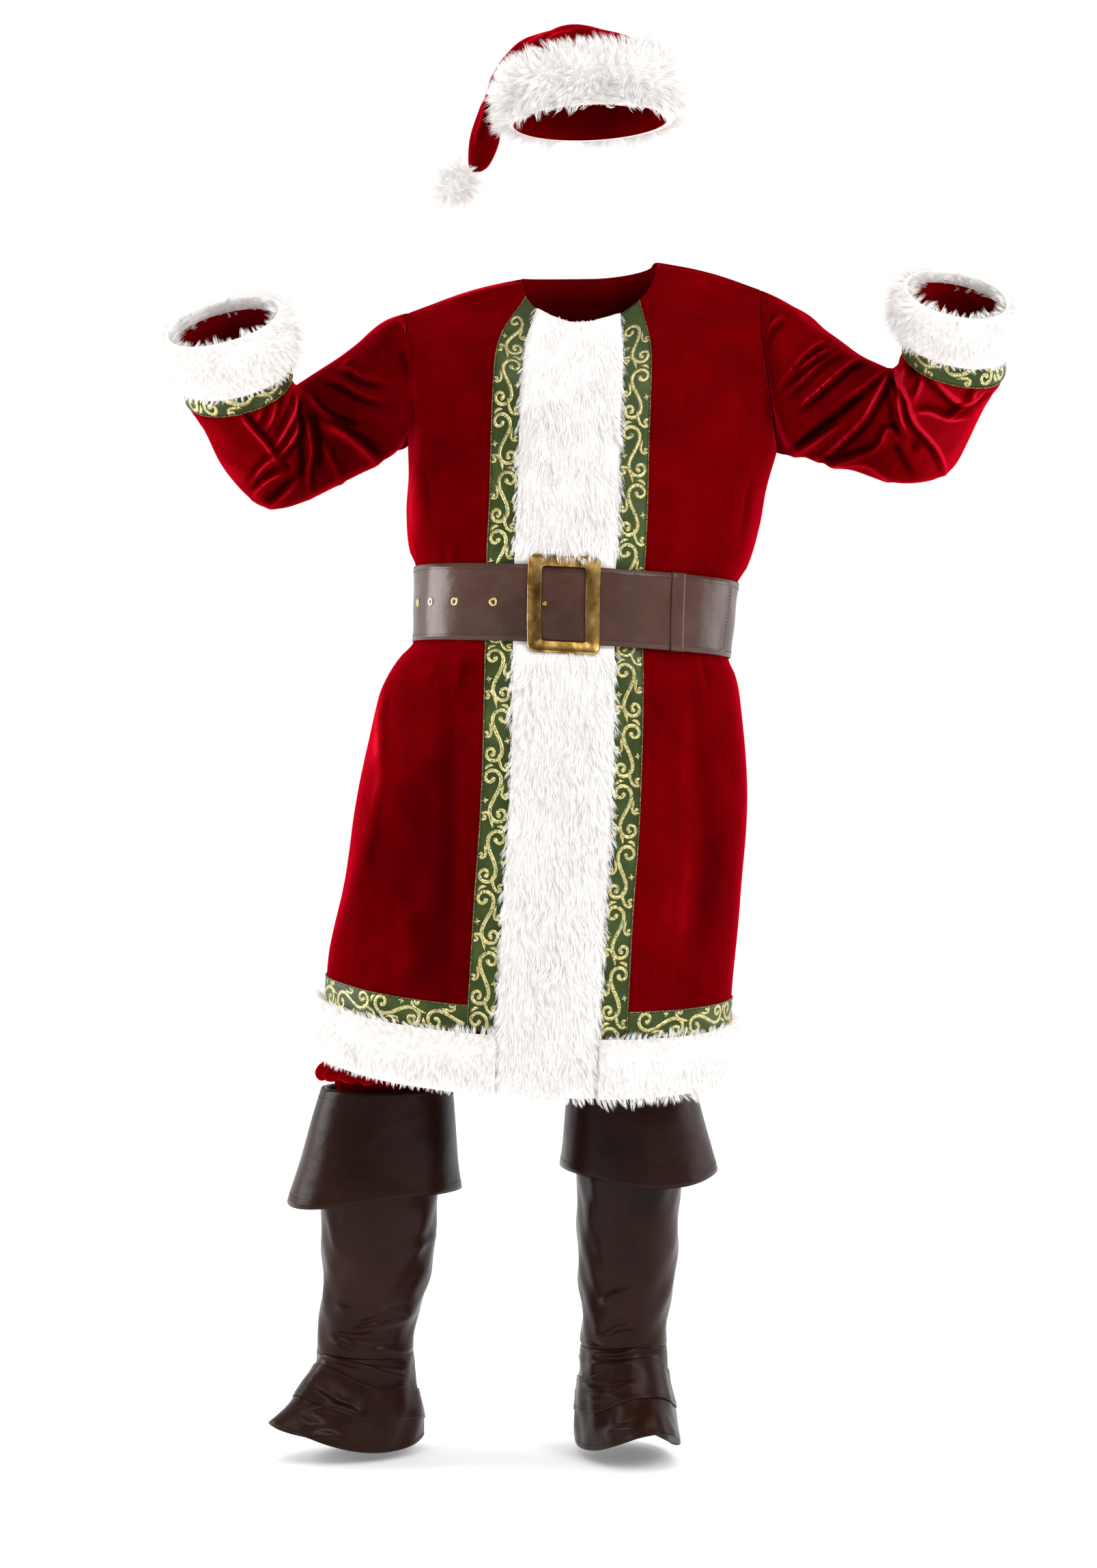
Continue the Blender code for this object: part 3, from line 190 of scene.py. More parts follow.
# Trouser sections: inner x, outer x, centre y, front depth, back depth, z,
# and how far the section has turned from a quarter of the hips (0) to half of a leg (0.5)
TROUSER_SECTIONS = {
    "right": (
        (-0.02, -0.2, 0.0, 0.146, 0.112, -0.395, 0.0),
        (-0.025, -0.216, 0.0, 0.148, 0.118, -0.5, 0.0),
        (-0.03, -0.24, 0.0, 0.142, 0.124, -0.61, 0.0),
        (-0.032, -0.252, 0.0, 0.128, 0.114, -0.68, 0.2),
        (-0.034, -0.258, 0.0, 0.114, 0.104, -0.715, 0.38),
        (-0.038, -0.264, 0.0, 0.104, 0.098, -0.735, 0.5),
        (-0.08, -0.284, 0.004, 0.096, 0.092, -0.83, 0.5),
        (-0.122, -0.312, 0.012, 0.088, 0.086, -0.935, 0.5),
        (-0.136, -0.328, 0.022, 0.092, 0.088, -0.98, 0.5),
        (-0.138, -0.35, 0.032, 0.098, 0.092, -1.002, 0.5),
        (-0.146, -0.348, 0.042, 0.094, 0.088, -1.014, 0.5),
        (-0.196, -0.328, 0.06, 0.064, 0.064, -1.0215, 0.5),
        (-0.204, -0.328, 0.073, 0.06, 0.06, -1.1, 0.5),
    ),
    "left": (
        (-0.02, 0.16, 0.0, 0.146, 0.112, -0.395, 0.0),
        (-0.025, 0.164, 0.0, 0.148, 0.118, -0.5, 0.0),
        (-0.03, 0.168, 0.0, 0.142, 0.124, -0.61, 0.0),
        (-0.032, 0.164, 0.0, 0.128, 0.114, -0.68, 0.2),
        (-0.031, 0.16, 0.0, 0.114, 0.104, -0.715, 0.38),
        (-0.028, 0.158, 0.0, 0.104, 0.098, -0.735, 0.5),
        (-0.036, 0.148, 0.006, 0.094, 0.092, -0.83, 0.5),
        (-0.036, 0.138, 0.018, 0.084, 0.084, -0.935, 0.5),
        (-0.036, 0.14, 0.024, 0.086, 0.084, -0.966, 0.5),
        (-0.036, 0.14, 0.03, 0.086, 0.082, -0.98, 0.5),
        (-0.032, 0.136, 0.034, 0.082, 0.08, -0.989, 0.5),
        (-0.014, 0.114, 0.042, 0.066, 0.066, -0.9965, 0.5),
        (-0.01, 0.112, 0.06, 0.06, 0.06, -1.08, 0.5),
    ),
}

# The way each boot's toe points: x, y
BOOT_TURN = {"right": (-0.799, -0.602), "left": (0.292, -0.956)}
# Boot cover sections: x, y, front reach, back reach, half width, z at the front, side and back
BOOT_SHAFT = {
    "right": (
        (-0.262, 0.06, 0.085, 0.085, 0.071, -1.028, -1.028, -1.028),
        (-0.2665, 0.075, 0.082, 0.082, 0.069, -1.11, -1.11, -1.11),
        (-0.2742, 0.09, 0.08, 0.08, 0.066, -1.19, -1.19, -1.19),
        (-0.275, 0.098, 0.076, 0.076, 0.063, -1.262, -1.262, -1.262),
        (-0.2823, 0.105, 0.071, 0.071, 0.059, -1.309, -1.309, -1.309),
        (-0.2918, 0.114, 0.067, 0.067, 0.055, -1.352, -1.352, -1.352),
        (-0.294, 0.119, 0.067, 0.067, 0.055, -1.378, -1.384, -1.384),
    ),
    "left": (
        (0.0524, 0.042, 0.083, 0.083, 0.073, -1.003, -1.003, -1.003),
        (0.0515, 0.06, 0.081, 0.081, 0.07, -1.085, -1.085, -1.085),
        (0.05, 0.078, 0.08, 0.08, 0.066, -1.165, -1.165, -1.165),
        (0.049, 0.093, 0.076, 0.076, 0.063, -1.25, -1.25, -1.25),
        (0.0475, 0.102, 0.071, 0.071, 0.059, -1.3, -1.3, -1.3),
        (0.0455, 0.111, 0.067, 0.067, 0.055, -1.342, -1.342, -1.342),
        (0.045, 0.119, 0.067, 0.067, 0.055, -1.366, -1.372, -1.372),
    ),
}
BOOT_CUFF = {
    "right": (
        (-0.262, 0.06, 0.089, 0.089, 0.075, -1.028, -1.028, -1.028),
        (-0.2705, 0.07, 0.104, 0.104, 0.088, -1.102, -1.096, -1.096),
        (-0.279, 0.08, 0.12, 0.12, 0.101, -1.18, -1.164, -1.164),
    ),
    "left": (
        (0.0524, 0.042, 0.087, 0.087, 0.077, -1.003, -1.003, -1.003),
        (0.056, 0.054, 0.104, 0.104, 0.089, -1.074, -1.068, -1.068),
        (0.0604, 0.068, 0.12, 0.12, 0.101, -1.148, -1.132, -1.132),
    ),
}
BOOT_FLAP = {
    "right": (
        (-0.294, 0.119, 0.067, 0.067, 0.055, -1.3783, -1.3843, -1.3843),
        (-0.2945, 0.12, 0.07, 0.075, 0.058, -1.39, -1.42, -1.438),
        (-0.295, 0.12, 0.101, 0.083, 0.062, -1.428, -1.462, -1.476),
        (-0.295, 0.12, 0.144, 0.086, 0.061, -1.458, -1.504, -1.492),
    ),
    "left": (
        (0.045, 0.119, 0.067, 0.067, 0.055, -1.3663, -1.3723, -1.3723),
        (0.045, 0.12, 0.07, 0.075, 0.058, -1.378, -1.412, -1.43),
        (0.045, 0.12, 0.101, 0.083, 0.062, -1.422, -1.456, -1.47),
        (0.045, 0.12, 0.144, 0.086, 0.061, -1.462, -1.504, -1.492),
    ),
}

# Buckle and belt furniture, measured from the band's centre along the belt
BUCKLE_HALF_WIDTH = 0.043
BUCKLE_HALF_HEIGHT = 0.0625
BUCKLE_BAR = 0.0172
BUCKLE_CORNER = 0.009
BELT_LAYER = 0.0028
FUR_REST = 0.004
BELT_TIP = 0.245
KEEPER = (0.132, 0.15)
EYELET_PLACES = (0.086, 0.142, 0.187, 0.226)
EYELET_HOLE = 0.0031
EYELET_FLANGE = 0.0054


def unit(vectors):
    length = np.linalg.norm(vectors, axis=-1, keepdims=True)
    return vectors / np.maximum(length, 1e-12)


def smooth(value, low, high):
    """0 at low, 1 at high, and smooth between."""
    t = np.clip((value - low) / (high - low), 0.0, 1.0)
    return t * t * (3 - 2 * t)


def through(keys, values, at):
    """Smooth curve through values (an array whose first axis matches keys), read at one place."""
    keys = np.asarray(keys, float)
    values = np.asarray(values, float)
    i = int(np.clip(np.searchsorted(keys, at) - 1, 0, len(keys) - 2))
    step = keys[i + 1] - keys[i]
    t = (at - keys[i]) / step
    before = max(i - 1, 0)
    after = min(i + 2, len(keys) - 1)
    slope_a = (values[i + 1] - values[before]) / (keys[i + 1] - keys[before])
    slope_b = (values[after] - values[i]) / (keys[after] - keys[i])
    return (
        values[i] * (2 * t**3 - 3 * t**2 + 1)
        + slope_a * step * (t**3 - 2 * t**2 + t)
        + values[i + 1] * (3 * t**2 - 2 * t**3)
        + slope_b * step * (t**3 - t**2)
    )


def sections_at(table, places):
    """Smoothly read rows of a table, or rings of a tube, at these section numbers."""
    return np.array([through(np.arange(len(table)), table, place) for place in places])


def bell(distance, width):
    """1 at no distance, and falling away over this width."""
    return np.exp(-((distance / width) ** 2))


def lifted(points, normals, height):
    """The points moved out along their normals, each by its own height or all by one."""
    return points + normals * np.asarray(height)[..., None]


def lengths(curve):
    steps = np.linalg.norm(np.diff(curve, axis=0), axis=1)
    return np.concatenate([[0.0], np.cumsum(steps)])


def read_along(curve, at):
    """The curve's points at these distances along it."""
    run = lengths(curve)
    return np.stack([np.interp(at, run, curve[:, k]) for k in range(3)], axis=1)


def even(curve, count=121):
    """The same curve with its points evenly spaced."""
    return read_along(curve, np.linspace(0.0, lengths(curve)[-1], count))


def circle(count):
    return np.arange(count) * 2 * math.pi / count


def closed(grid):
    """A tube's grid with its first column repeated at the end."""
    return np.concatenate([grid, grid[:, :1]], axis=1)


# ---- coat surface


def section_curve(side, face, level):
    """A quarter of the coat's level section, from its centre line to the side seam."""
    table = np.array(COAT_SECTIONS)
    right, left, front, back, band, drop, slope = through(table[:, 0], table[:, 1:], level)
    middle = (right + left) / 2
    half = (left - right) / 2
    sign = -1.0 if side == "right" else 1.0
    start_x = band if face == "front" else middle
    share = (start_x - middle) / half
    start = math.copysign(abs(share) ** (SQUARENESS / 2), share)
    turn = np.linspace(math.asin(start), sign * math.pi / 2, 241)
    power = 2 / SQUARENESS
    x = middle + half * np.sign(np.sin(turn)) * np.abs(np.sin(turn)) ** power
    swell = np.abs(np.cos(turn)) ** power
    if face == "front":
        y = -front * swell
        fall = drop * swell**1.5
    else:
        y = back * swell
        fall = 0.4 * drop * swell**1.5
    z = level - slope * (x - middle) - fall
    return even(np.stack([x, y, z], axis=1))


def upper_curve(side, face, row):
    """A section between the armpit and the shoulder, from the centre line to the armhole."""
    share, depth, centre_z, edge_x, edge_y, edge_z, roundness = row
    start_x = (1 - share) * -0.028 + share * NECK_FRONT[0] if face == "front" else 0.0
    sign = -1.0 if face == "front" else 1.0
    q = np.linspace(0.0, 1.0, 121)
    x = start_x + (edge_x - start_x) * q
    y = sign * (depth + (edge_y - depth) * q**roundness)
    z = centre_z + (edge_z - centre_z) * q * q * (3 - 2 * q)
    return even(np.stack([x, y, z], axis=1))


def top_curve(side, face):
    """Neckline and then shoulder seam."""
    start = np.array(NECK_FRONT if face == "front" else NECK_BACK)
    neck = np.array(NECK_POINT[side])
    shoulder = np.array(SHOULDER[side])
    a = np.linspace(0.0, math.pi / 2, 41)
    x = start[0] + (neck[0] - start[0]) * np.sin(a)
    y = start[1] * np.cos(a)
    z = start[2] + (neck[2] - start[2]) * (1 - np.cos(a)) ** 0.9
    t = np.linspace(0.0, 1.0, 41)[1:, None]
    seam = neck + (shoulder - neck) * t
    seam[:, 2] += 0.004 * np.sin(math.pi * t[:, 0])
    return even(np.concatenate([np.stack([x, y, z], axis=1), seam]))


@functools.cache
def row_curve(side, face, level):
    """A quarter of the coat's section at this level, in and above the straight part."""
    if level <= ARMPIT:
        return section_curve(side, face, level)
    rows = UPPER_SECTIONS[(side, face)]
    keys = [-0.3, 0.0, rows[0][0], rows[1][0], 1.0]
    curves = [
        section_curve(side, face, ARMPIT * 1.3),
        section_curve(side, face, ARMPIT),
        upper_curve(side, face, rows[0]),
        upper_curve(side, face, rows[1]),
        top_curve(side, face),
    ]
    return through(keys, curves, 1.0 - level / ARMPIT)


def column_places(face, columns, total):
    """Distances from the centre line. Columns below 1 are metres, others 1 plus a share of the rest."""
    shares = np.asarray(columns, float)
    start = TRIM_EDGE if face == "front" else 0.0
    return np.where(shares < 1.0, shares, start + (shares - 1.0) * (total - start))


def coat_half(side, face, columns, levels):
    """Points of a quarter of the coat, a row for each level, from right to left."""
    rows = []
    for level in levels:
        curve = row_curve(side, face, float(level))
        rows.append(read_along(curve, column_places(face, columns, lengths(curve)[-1])))
    points = np.array(rows)
    return points[:, ::-1] if side == "right" else points


# ---- creases

# Creases, in millimetres: half width, height, then the points (x, z) that the line passes through.
# The steep side is on the left of the way the line runs. Troughs are negative.
FOLDS = {}
FOLDS["sleeve_right_front"] = (
    (5, 4, (-396, -150), (-405, -164), (-419, -178)),
    (5, 5, (-389, -148), (-401, -176), (-412, -199)),
    (5, 5, (-382, -152), (-391, -186), (-400, -206)),
    (5, 5, (-373, -148), (-380, -178), (-396, -215)),
    (5, 6, (-364, -158), (-370, -188), (-392, -230)),
    (5, 6, (-361, -176), (-364, -205), (-388, -241)),
    (6, 6, (-438, -173), (-420, -199), (-400, -223), (-387, -243)),
    (5, 4, (-422, -268), (-408, -250), (-386, -232)),
    (6, 5, (-422, -279), (-402, -264), (-380, -254)),
    (6, 5, (-407, -293), (-386, -283), (-361, -262)),
    (4, 3, (-372, -258), (-370, -246), (-377, -236)),
    (5, 5, (-357, -172), (-351, -200), (-347, -226), (-352, -254), (-352, -279)),
    (6, -6, (-361, -160), (-360, -200), (-358, -235), (-359, -266)),
    (8, -5, (-345, -180), (-337, -205), (-336, -230), (-338, -252)),
    (9, 4, (-356, -152), (-337, -175), (-312, -192), (-280, -200)),
    (15, 6, (-332, -194), (-300, -211), (-266, -237)),
    (5, 4, (-251, -140), (-284, -134), (-300, -125), (-318, -119)),
    (5, 4, (-256, -163), (-286, -156), (-307, -144), (-334, -132)),
    (4, 3, (-300, -106), (-308, -112), (-304, -118)),
    (8, -3, (-240, -98), (-233, -112), (-231, -128)),
    (5, 4, (-424, -165), (-440, -172), (-466, -180), (-480, -193)),
    (4, 3, (-438, -171), (-452, -168), (-468, -168)),
    (4, 3, (-492, -176), (-478, -178), (-470, -184)),
    (10, 3, (-333, -218), (-318, -250), (-306, -272)),
)
FOLDS["sleeve_left_front"] = (
    (5, 5, (292, -85), (278, -93), (259, -111), (231, -146)),
    (5, 5, (303, -93), (278, -108), (259, -123), (240, -140)),
    (5, 4, (314, -98), (289, -112), (263, -136), (240, -155)),
    (5, 6, (342, -110), (323, -117), (300, -135), (272, -159), (254, -171)),
    (6, 4, (366, -126), (347, -140), (328, -155), (300, -172)),
    (6, -7, (336, -156), (310, -177), (282, -195), (250, -219)),
    (6, 5, (254, -221), (282, -209), (312, -191)),
    (7, 7, (372, -124), (363, -144), (349, -167), (334, -192), (308, -215), (284, -231)),
    (5, 4, (382, -208), (374, -189), (373, -172), (369, -147)),
    (5, 5, (386, -205), (380, -185), (378, -155), (377, -126)),
    (7, 8, (441, -252), (423, -223), (400, -198), (392, -182), (389, -168), (381, -145), (376, -121)),
    (4, 4, (383, -104), (386, -128), (384, -142)),
    (5, 5, (396, -167), (403, -144), (393, -125), (383, -106)),
    (5, 4, (393, -103), (401, -118), (408, -129)),
    (8, 6, (452, -174), (439, -167), (421, -151), (409, -138), (396, -125)),
    (5, 4, (422, -145), (441, -140), (473, -135), (490, -132)),
    (5, 5, (461, -171), (466, -160), (481, -151), (505, -136)),
    (5, 5, (500, -147), (479, -157), (465, -169), (450, -176)),
    (6, 4, (398, -183), (413, -183), (434, -190), (464, -188)),
    (5, 4, (434, -190), (447, -183), (456, -175)),
    (5, 5, (377, -261), (364, -254), (338, -241), (308, -238), (290, -238)),
    (
        5, 5, (284, -226), (292, -234), (305, -235), (327, -232), (348, -226),
        (357, -217), (362, -205), (368, -202), (377, -214),
    ),
    (7, -5, (372, -218), (384, -238), (398, -256)),
    (5, -4, (395, -212), (398, -226), (402, -210)),
    (5, 4, (240, -53), (226, -69), (216, -87), (212, -100)),
    (5, 4, (226, -42), (219, -57), (212, -76)),
    (5, 3, (256, -224), (269, -229), (284, -228)),
)
FOLDS["sleeve_right_back"] = (
    (9, 5, (-364, -150), (-352, -196), (-318, -232)),
    (8, 5, (-370, -158), (-366, -214), (-352, -262)),
    (8, 5, (-378, -150), (-388, -206), (-402, -262)),
    (9, 4, (-392, -150), (-414, -184), (-446, -210)),
    (10, 4, (-300, -96), (-276, -130), (-262, -172)),
    (9, 3, (-270, -72), (-250, -112), (-244, -160)),
    (8, 3.5, (-440, -140), (-466, -158), (-492, -166)),
    (12, -4, (-330, -190), (-300, -222), (-262, -226)),
)
FOLDS["sleeve_left_back"] = (
    (9, 5, (372, -130), (352, -182), (306, -220)),
    (8, 5, (376, -136), (378, -196), (366, -246)),
    (8, 5, (388, -130), (406, -186), (420, -240)),
    (9, 4, (398, -126), (436, -160), (470, -184)),
    (10, 4, (304, -80), (272, -118), (246, -160)),
    (9, 3, (262, -54), (240, -100), (228, -150)),
    (8, 3.5, (430, -104), (470, -122), (500, -124)),
    (12, -4, (336, -160), (292, -196), (254, -206)),
)
FOLDS["coat_front"] = (
    (6, 2.2, (-191, -341), (-189, -370), (-193, -397)),
    (7, 2.5, (-173, -344), (-176, -374), (-173, -402)),
    (7, -2, (-154, -357), (-149, -378), (-141, -400)),
    (9, 3, (-222, -344), (-215, -370), (-191, -395)),
    (14, 4, (-259, -500), (-265, -564), (-262, -623)),
    (12, 3, (-262, -623), (-272, -682), (-284, -758)),
    (12, -3, (-220, -233), (-207, -260), (-202, -311)),
    (12, -2.5, (205, -251), (195, -285), (185, -344)),
    (9, 2.5, (146, -357), (155, -374), (176, -387)),
    (30, 2, (-234, -792), (-225, -842), (-232, -884)),
    (30, -3, (-175, -513), (-179, -640), (-183, -851)),
    (34, 2, (112, -505), (121, -682), (112, -884)),
    (7, 2.5, (-190, -475), (-196, -496), (-206, -520)),
    (8, 2.5, (-160, -474), (-164, -500), (-170, -524)),
    (8, 2.5, (130, -474), (134, -498), (142, -524)),
    (8, -2.5, (-225, -142), (-227, -184), (-225, -222)),
    (9, -3, (217, -125), (220, -176), (227, -224)),
)
FOLDS["coat_back"] = (
    (15, 3, (-150, -470), (-158, -530), (-170, -600)),
    (20, 5, (-84, -470), (-90, -560), (-100, -670)),
    (22, 4, (-20, -470), (-23, -560), (-28, -700)),
    (18, 5, (52, -470), (58, -550), (68, -660)),
    (15, 3, (118, -470), (124, -530), (134, -590)),
    (14, 2, (-120, -366), (-116, -330), (-108, -290)),
    (18, 3, (-40, -366), (-42, -320), (-46, -270)),
    (16, 3, (60, -366), (64, -330), (70, -280)),
    (12, 2, (140, -366), (144, -336), (150, -296)),
    (34, 3, (-150, -110), (-140, -150), (-128, -210)),
    (34, 3, (140, -100), (134, -146), (124, -205)),
    (34, 3, (-200, -700), (-208, -800), (-216, -880)),
    (36, 3, (40, -700), (44, -790), (50, -880)),
)
FOLDS["hat_front"] = (
    (8, -4, (-50, 317), (-61, 301), (-72, 286)),
    (8, -4, (-84, 305), (-98, 289), (-119, 274)),
    (6, -3, (-6, 304), (21, 307), (40, 310)),
    (6, -2.5, (-24, 314), (-29, 307), (-39, 300)),
    (6, 3.5, (-133, 241), (-140, 215), (-148, 184)),
    (8, 3, (-124, 263), (-108, 274), (-82, 284)),
)
FOLDS["hat_back"] = (
    (9, -4, (-40, 318), (-56, 298), (-74, 272)),
    (8, 4, (-80, 306), (-96, 284), (-116, 262)),
    (8, -3, (10, 312), (0, 294), (-14, 276)),
    (7, 3.5, (-130, 244), (-136, 214), (-144, 184)),
    (8, 3, (50, 296), (40, 284), (24, 274)),
)
FOLDS["boot_right"] = (
    (7, 4, (-308, -1345), (-290, -1339), (-262, -1336), (-232, -1328)),
    (6, -3, (-302, -1338), (-276, -1327), (-256, -1317)),
    (6, 3.5, (-262, -1323), (-246, -1320), (-228, -1325)),
    (6, -3, (-330, -1349), (-300, -1352), (-262, -1354)),
    (6, 3.5, (-334, -1353), (-318, -1360), (-300, -1368)),
    (6, 3, (-282, -1373), (-268, -1370), (-254, -1371)),
    (8, 5, (-335, -1378), (-293, -1390), (-232, -1411)),
    (7, -3, (-254, -1383), (-238, -1383), (-226, -1384)),
    (7, 3, (-326, -1309), (-314, -1313), (-302, -1317)),
    (8, 2.5, (-334, -1188), (-330, -1215), (-322, -1240)),
    (8, 3, (-228, -1240), (-214, -1232), (-202, -1226)),
    (6, 3.5, (-359, -1420), (-324, -1439), (-293, -1455)),
    (6, 3.5, (-376, -1444), (-350, -1440), (-302, -1442)),
    (6, 3, (-372, -1448), (-365, -1458), (-357, -1464)),
    (6, 3, (-360, -1446), (-355, -1456), (-349, -1463)),
    (7, 2.5, (-372, -1481), (-346, -1472), (-320, -1477)),
)
FOLDS["boot_left"] = (
    (8, 3.5, (14, -1305), (32, -1293), (54, -1285)),
    (6, 4, (16, -1355), (32, -1340), (54, -1336)),
    (6, 5, (-4, -1368), (23, -1374), (54, -1369)),
    (7, 3, (-2, -1393), (23, -1387), (58, -1385)),
    (6, 4, (-7, -1415), (23, -1418), (58, -1408)),
    (6, 3, (-2, -1433), (23, -1428), (58, -1426)),
    (6, 3, (14, -1472), (36, -1463), (62, -1455)),
    (12, -2, (36, -1124), (40, -1195), (32, -1256)),
)


def crease_line(points):
    """A smooth line through a few points, about 2 mm from one point to the next."""
    points = np.array(points, float)
    count = max(8, int(lengths(points)[-1] / 2))
    return sections_at(points, np.linspace(0, len(points) - 1, count))


FINEST_CREASE = 3.8


def creases(points, toward, table):
    """Height of these creases at each point, and their painted light and shade, from -1 to 1: painted
    highlights on the crests, painted shade at their feet and in the troughs.

    toward is how squarely a point faces their side. No crease is drawn finer than the grid can show."""
    flat = points.reshape(-1, 3)[:, [0, 2]] * 1000
    rise, nap = np.zeros(len(flat)), np.zeros(len(flat))
    for width, height, *places in table:
        line = crease_line(places)
        low, high = line.min(axis=0) - 3 * width, line.max(axis=0) + 3 * width
        near = np.flatnonzero(((flat > low) & (flat < high)).all(axis=1))
        if not len(near):
            continue
        away = flat[near, None] - line[None]
        distance = np.linalg.norm(away, axis=2)
        closest = distance.argmin(axis=1)
        pick = np.arange(len(near))
        way, offset = unit(np.gradient(line, axis=0))[closest], away[pick, closest]
        side = np.sign(way[:, 0] * offset[:, 1] - way[:, 1] * offset[:, 0])
        far = side * distance[pick, closest]
        along = closest / (len(line) - 1)
        taper = smooth(along, -0.1, 0.22) * smooth(1 - along, -0.1, 0.26)
        gentle, steep = max(0.85 * width, FINEST_CREASE), max(0.42 * width, FINEST_CREASE)
        strong = min(abs(height) / 5, 1.2) * taper
        if height > 0:
            crest = bell(far, np.where(far > 0, steep, gentle))
            foot = bell(far - 1.5 * steep, steep)
            rise[near] += height * taper * (crest - 0.35 * foot)
            # Painted highlight along the crest and painted shade at its foot.
            nap[near] += strong * (bell(far + 0.1 * width, 0.42 * gentle) - 0.9 * foot)
        else:
            rise[near] += height * taper * bell(far, steep)
            # Painted shade along the trough.
            nap[near] -= strong * bell(far, steep)
    facing = smooth(toward, -0.35, 0.25)
    return (rise / 1000).reshape(points.shape[:2]) * facing, nap.reshape(points.shape[:2]) * facing


def drift(points, scale, seed):
    """A slow random swell from -1 to 1, as long as scale."""
    rng = np.random.default_rng(seed)
    total = np.zeros(points.shape[:-1])
    for _ in range(6):
        wave = unit(rng.normal(size=3)) * 2 * math.pi / scale * rng.uniform(0.7, 1.5)
        total += np.sin(points @ wave + rng.uniform(0, 2 * math.pi))
    return total / 3.2


def grid_normals(points, wrap=False):
    """Across times along: outward on a grid that runs from right to left and upwards at the front."""
    if wrap:
        across = np.roll(points, -1, axis=1) - np.roll(points, 1, axis=1)
    else:
        across = np.gradient(points, axis=1)
    return unit(np.cross(across, np.gradient(points, axis=0)))


def tube_normals(points):
    normals = grid_normals(points, wrap=True)
    if (normals * (points - points.mean(axis=1, keepdims=True))).sum() < 0:
        return -normals
    return normals


def border_run(points, axis):
    """Distance along the grid from its first column (axis 1) or first row (axis 0)."""
    steps = np.linalg.norm(np.diff(points, axis=axis), axis=2)
    start = np.zeros_like(np.take(steps, [0], axis=axis))
    return np.concatenate([start, np.cumsum(steps, axis=axis)], axis=axis)


def sink_seams(points, normals, seams):
    """The surface drawn in along the seams at these edges of the grid: right, left, top or bottom."""
    sink = np.zeros(points.shape[:2])
    for edge in seams:
        run = border_run(points, 1 if edge in ("right", "left") else 0)
        if edge in ("left", "top"):
            run = np.take(run, [-1], axis=1 if edge == "left" else 0) - run
        sink = np.maximum(sink, bell(run, SEAM_WIDTH))
    return lifted(points, normals, -SEAM_DEPTH * sink)


def both_faces(points, normals, front, back):
    """Height of the creases on the front and on the back, and their painted light and shade."""
    rise, nap = creases(points, -normals[..., 1], FOLDS[front])
    more, light = creases(points, normals[..., 1], FOLDS[back])
    return rise + more, nap + light


# Painted light and shade on the coat: patches where its pile's colour is made lighter or darker for how light
# falls. x, z, half width, half height in mm, share.
PAINTED_COAT_SHADING = (
    (-196, -800, 120, 230, -0.42),
    (-230, -250, 17, 100, 0.85),
    (-272, -590, 24, 80, 0.65),
    (150, -790, 40, 150, -0.35),
    (-110, -200, 50, 160, -0.15),
)


def coat_cloth(face, columns, levels, sides=("right", "left")):
    """The coat's surface with its creases, its normals and the painted light and shade of its pile."""
    halves = [coat_half(side, face, columns, levels) for side in sides]
    points = halves[0]
    if len(halves) == 2:
        points = np.concatenate([halves[0], halves[1][:, 1:]], axis=1)
    sign = 1.0 if face == "front" else -1.0
    normals = sign * grid_normals(points)
    rise, nap = both_faces(points, normals, "coat_front", "coat_back")
    rise += 0.0013 * drift(points, 0.12, 3)
    across, up = points[..., 0], points[..., 2]
    at_armhole = smooth(np.abs(across + 0.005), 0.185, 0.222) * smooth(up, -0.26, -0.2)
    at_belt = smooth(up, -0.5, -0.475) * smooth(-up, 0.345, 0.37)
    free = (1 - at_armhole) * (1 - 0.85 * at_belt)
    points = lifted(points, normals, rise * free)
    nap = 0.55 * nap * free
    across, up = 1000 * points[..., 0], 1000 * points[..., 2]
    # Painted light and shade in patches, added to that of the creases.
    for x, z, wide, high, light in PAINTED_COAT_SHADING:
        nap += light * bell(across - x, wide) * bell(up - z, high)
    normals = sign * grid_normals(points)
    below = np.asarray(levels) <= ARMPIT
    if columns[-1] == 2.0:
        for side in sides:
            edge = 0 if side == "right" else -1
            normals[below, edge, 1] = 0.0
    return points, unit(normals), nap


# ---- meshes


def add_piece(name, points, faces, material, places=None):
    """A mesh object. places holds one (u, v) for each face corner, in order."""
    mesh = bpy.data.meshes.new(name)
    mesh.from_pydata(np.asarray(points, float), [], faces)
    layer = mesh.uv_layers.new(name="UVMap")
    if places is not None:
        layer.uv.foreach_set("vector", np.asarray(places, np.float32).ravel())
    mesh.shade_smooth()
    mesh.materials.append(material)
    made = bpy.data.objects.new(name, mesh)
    bpy.context.scene.collection.objects.link(made)
    return made


def put_field(mesh, name, values):
    """An attribute with one number, or one vector, for each point."""
    kind, field = ("FLOAT_VECTOR", "vector") if values.ndim == 2 else ("FLOAT", "value")
    made = mesh.attributes.new(name, kind, "POINT")
    made.data.foreach_set(field, values.astype(np.float32).ravel())


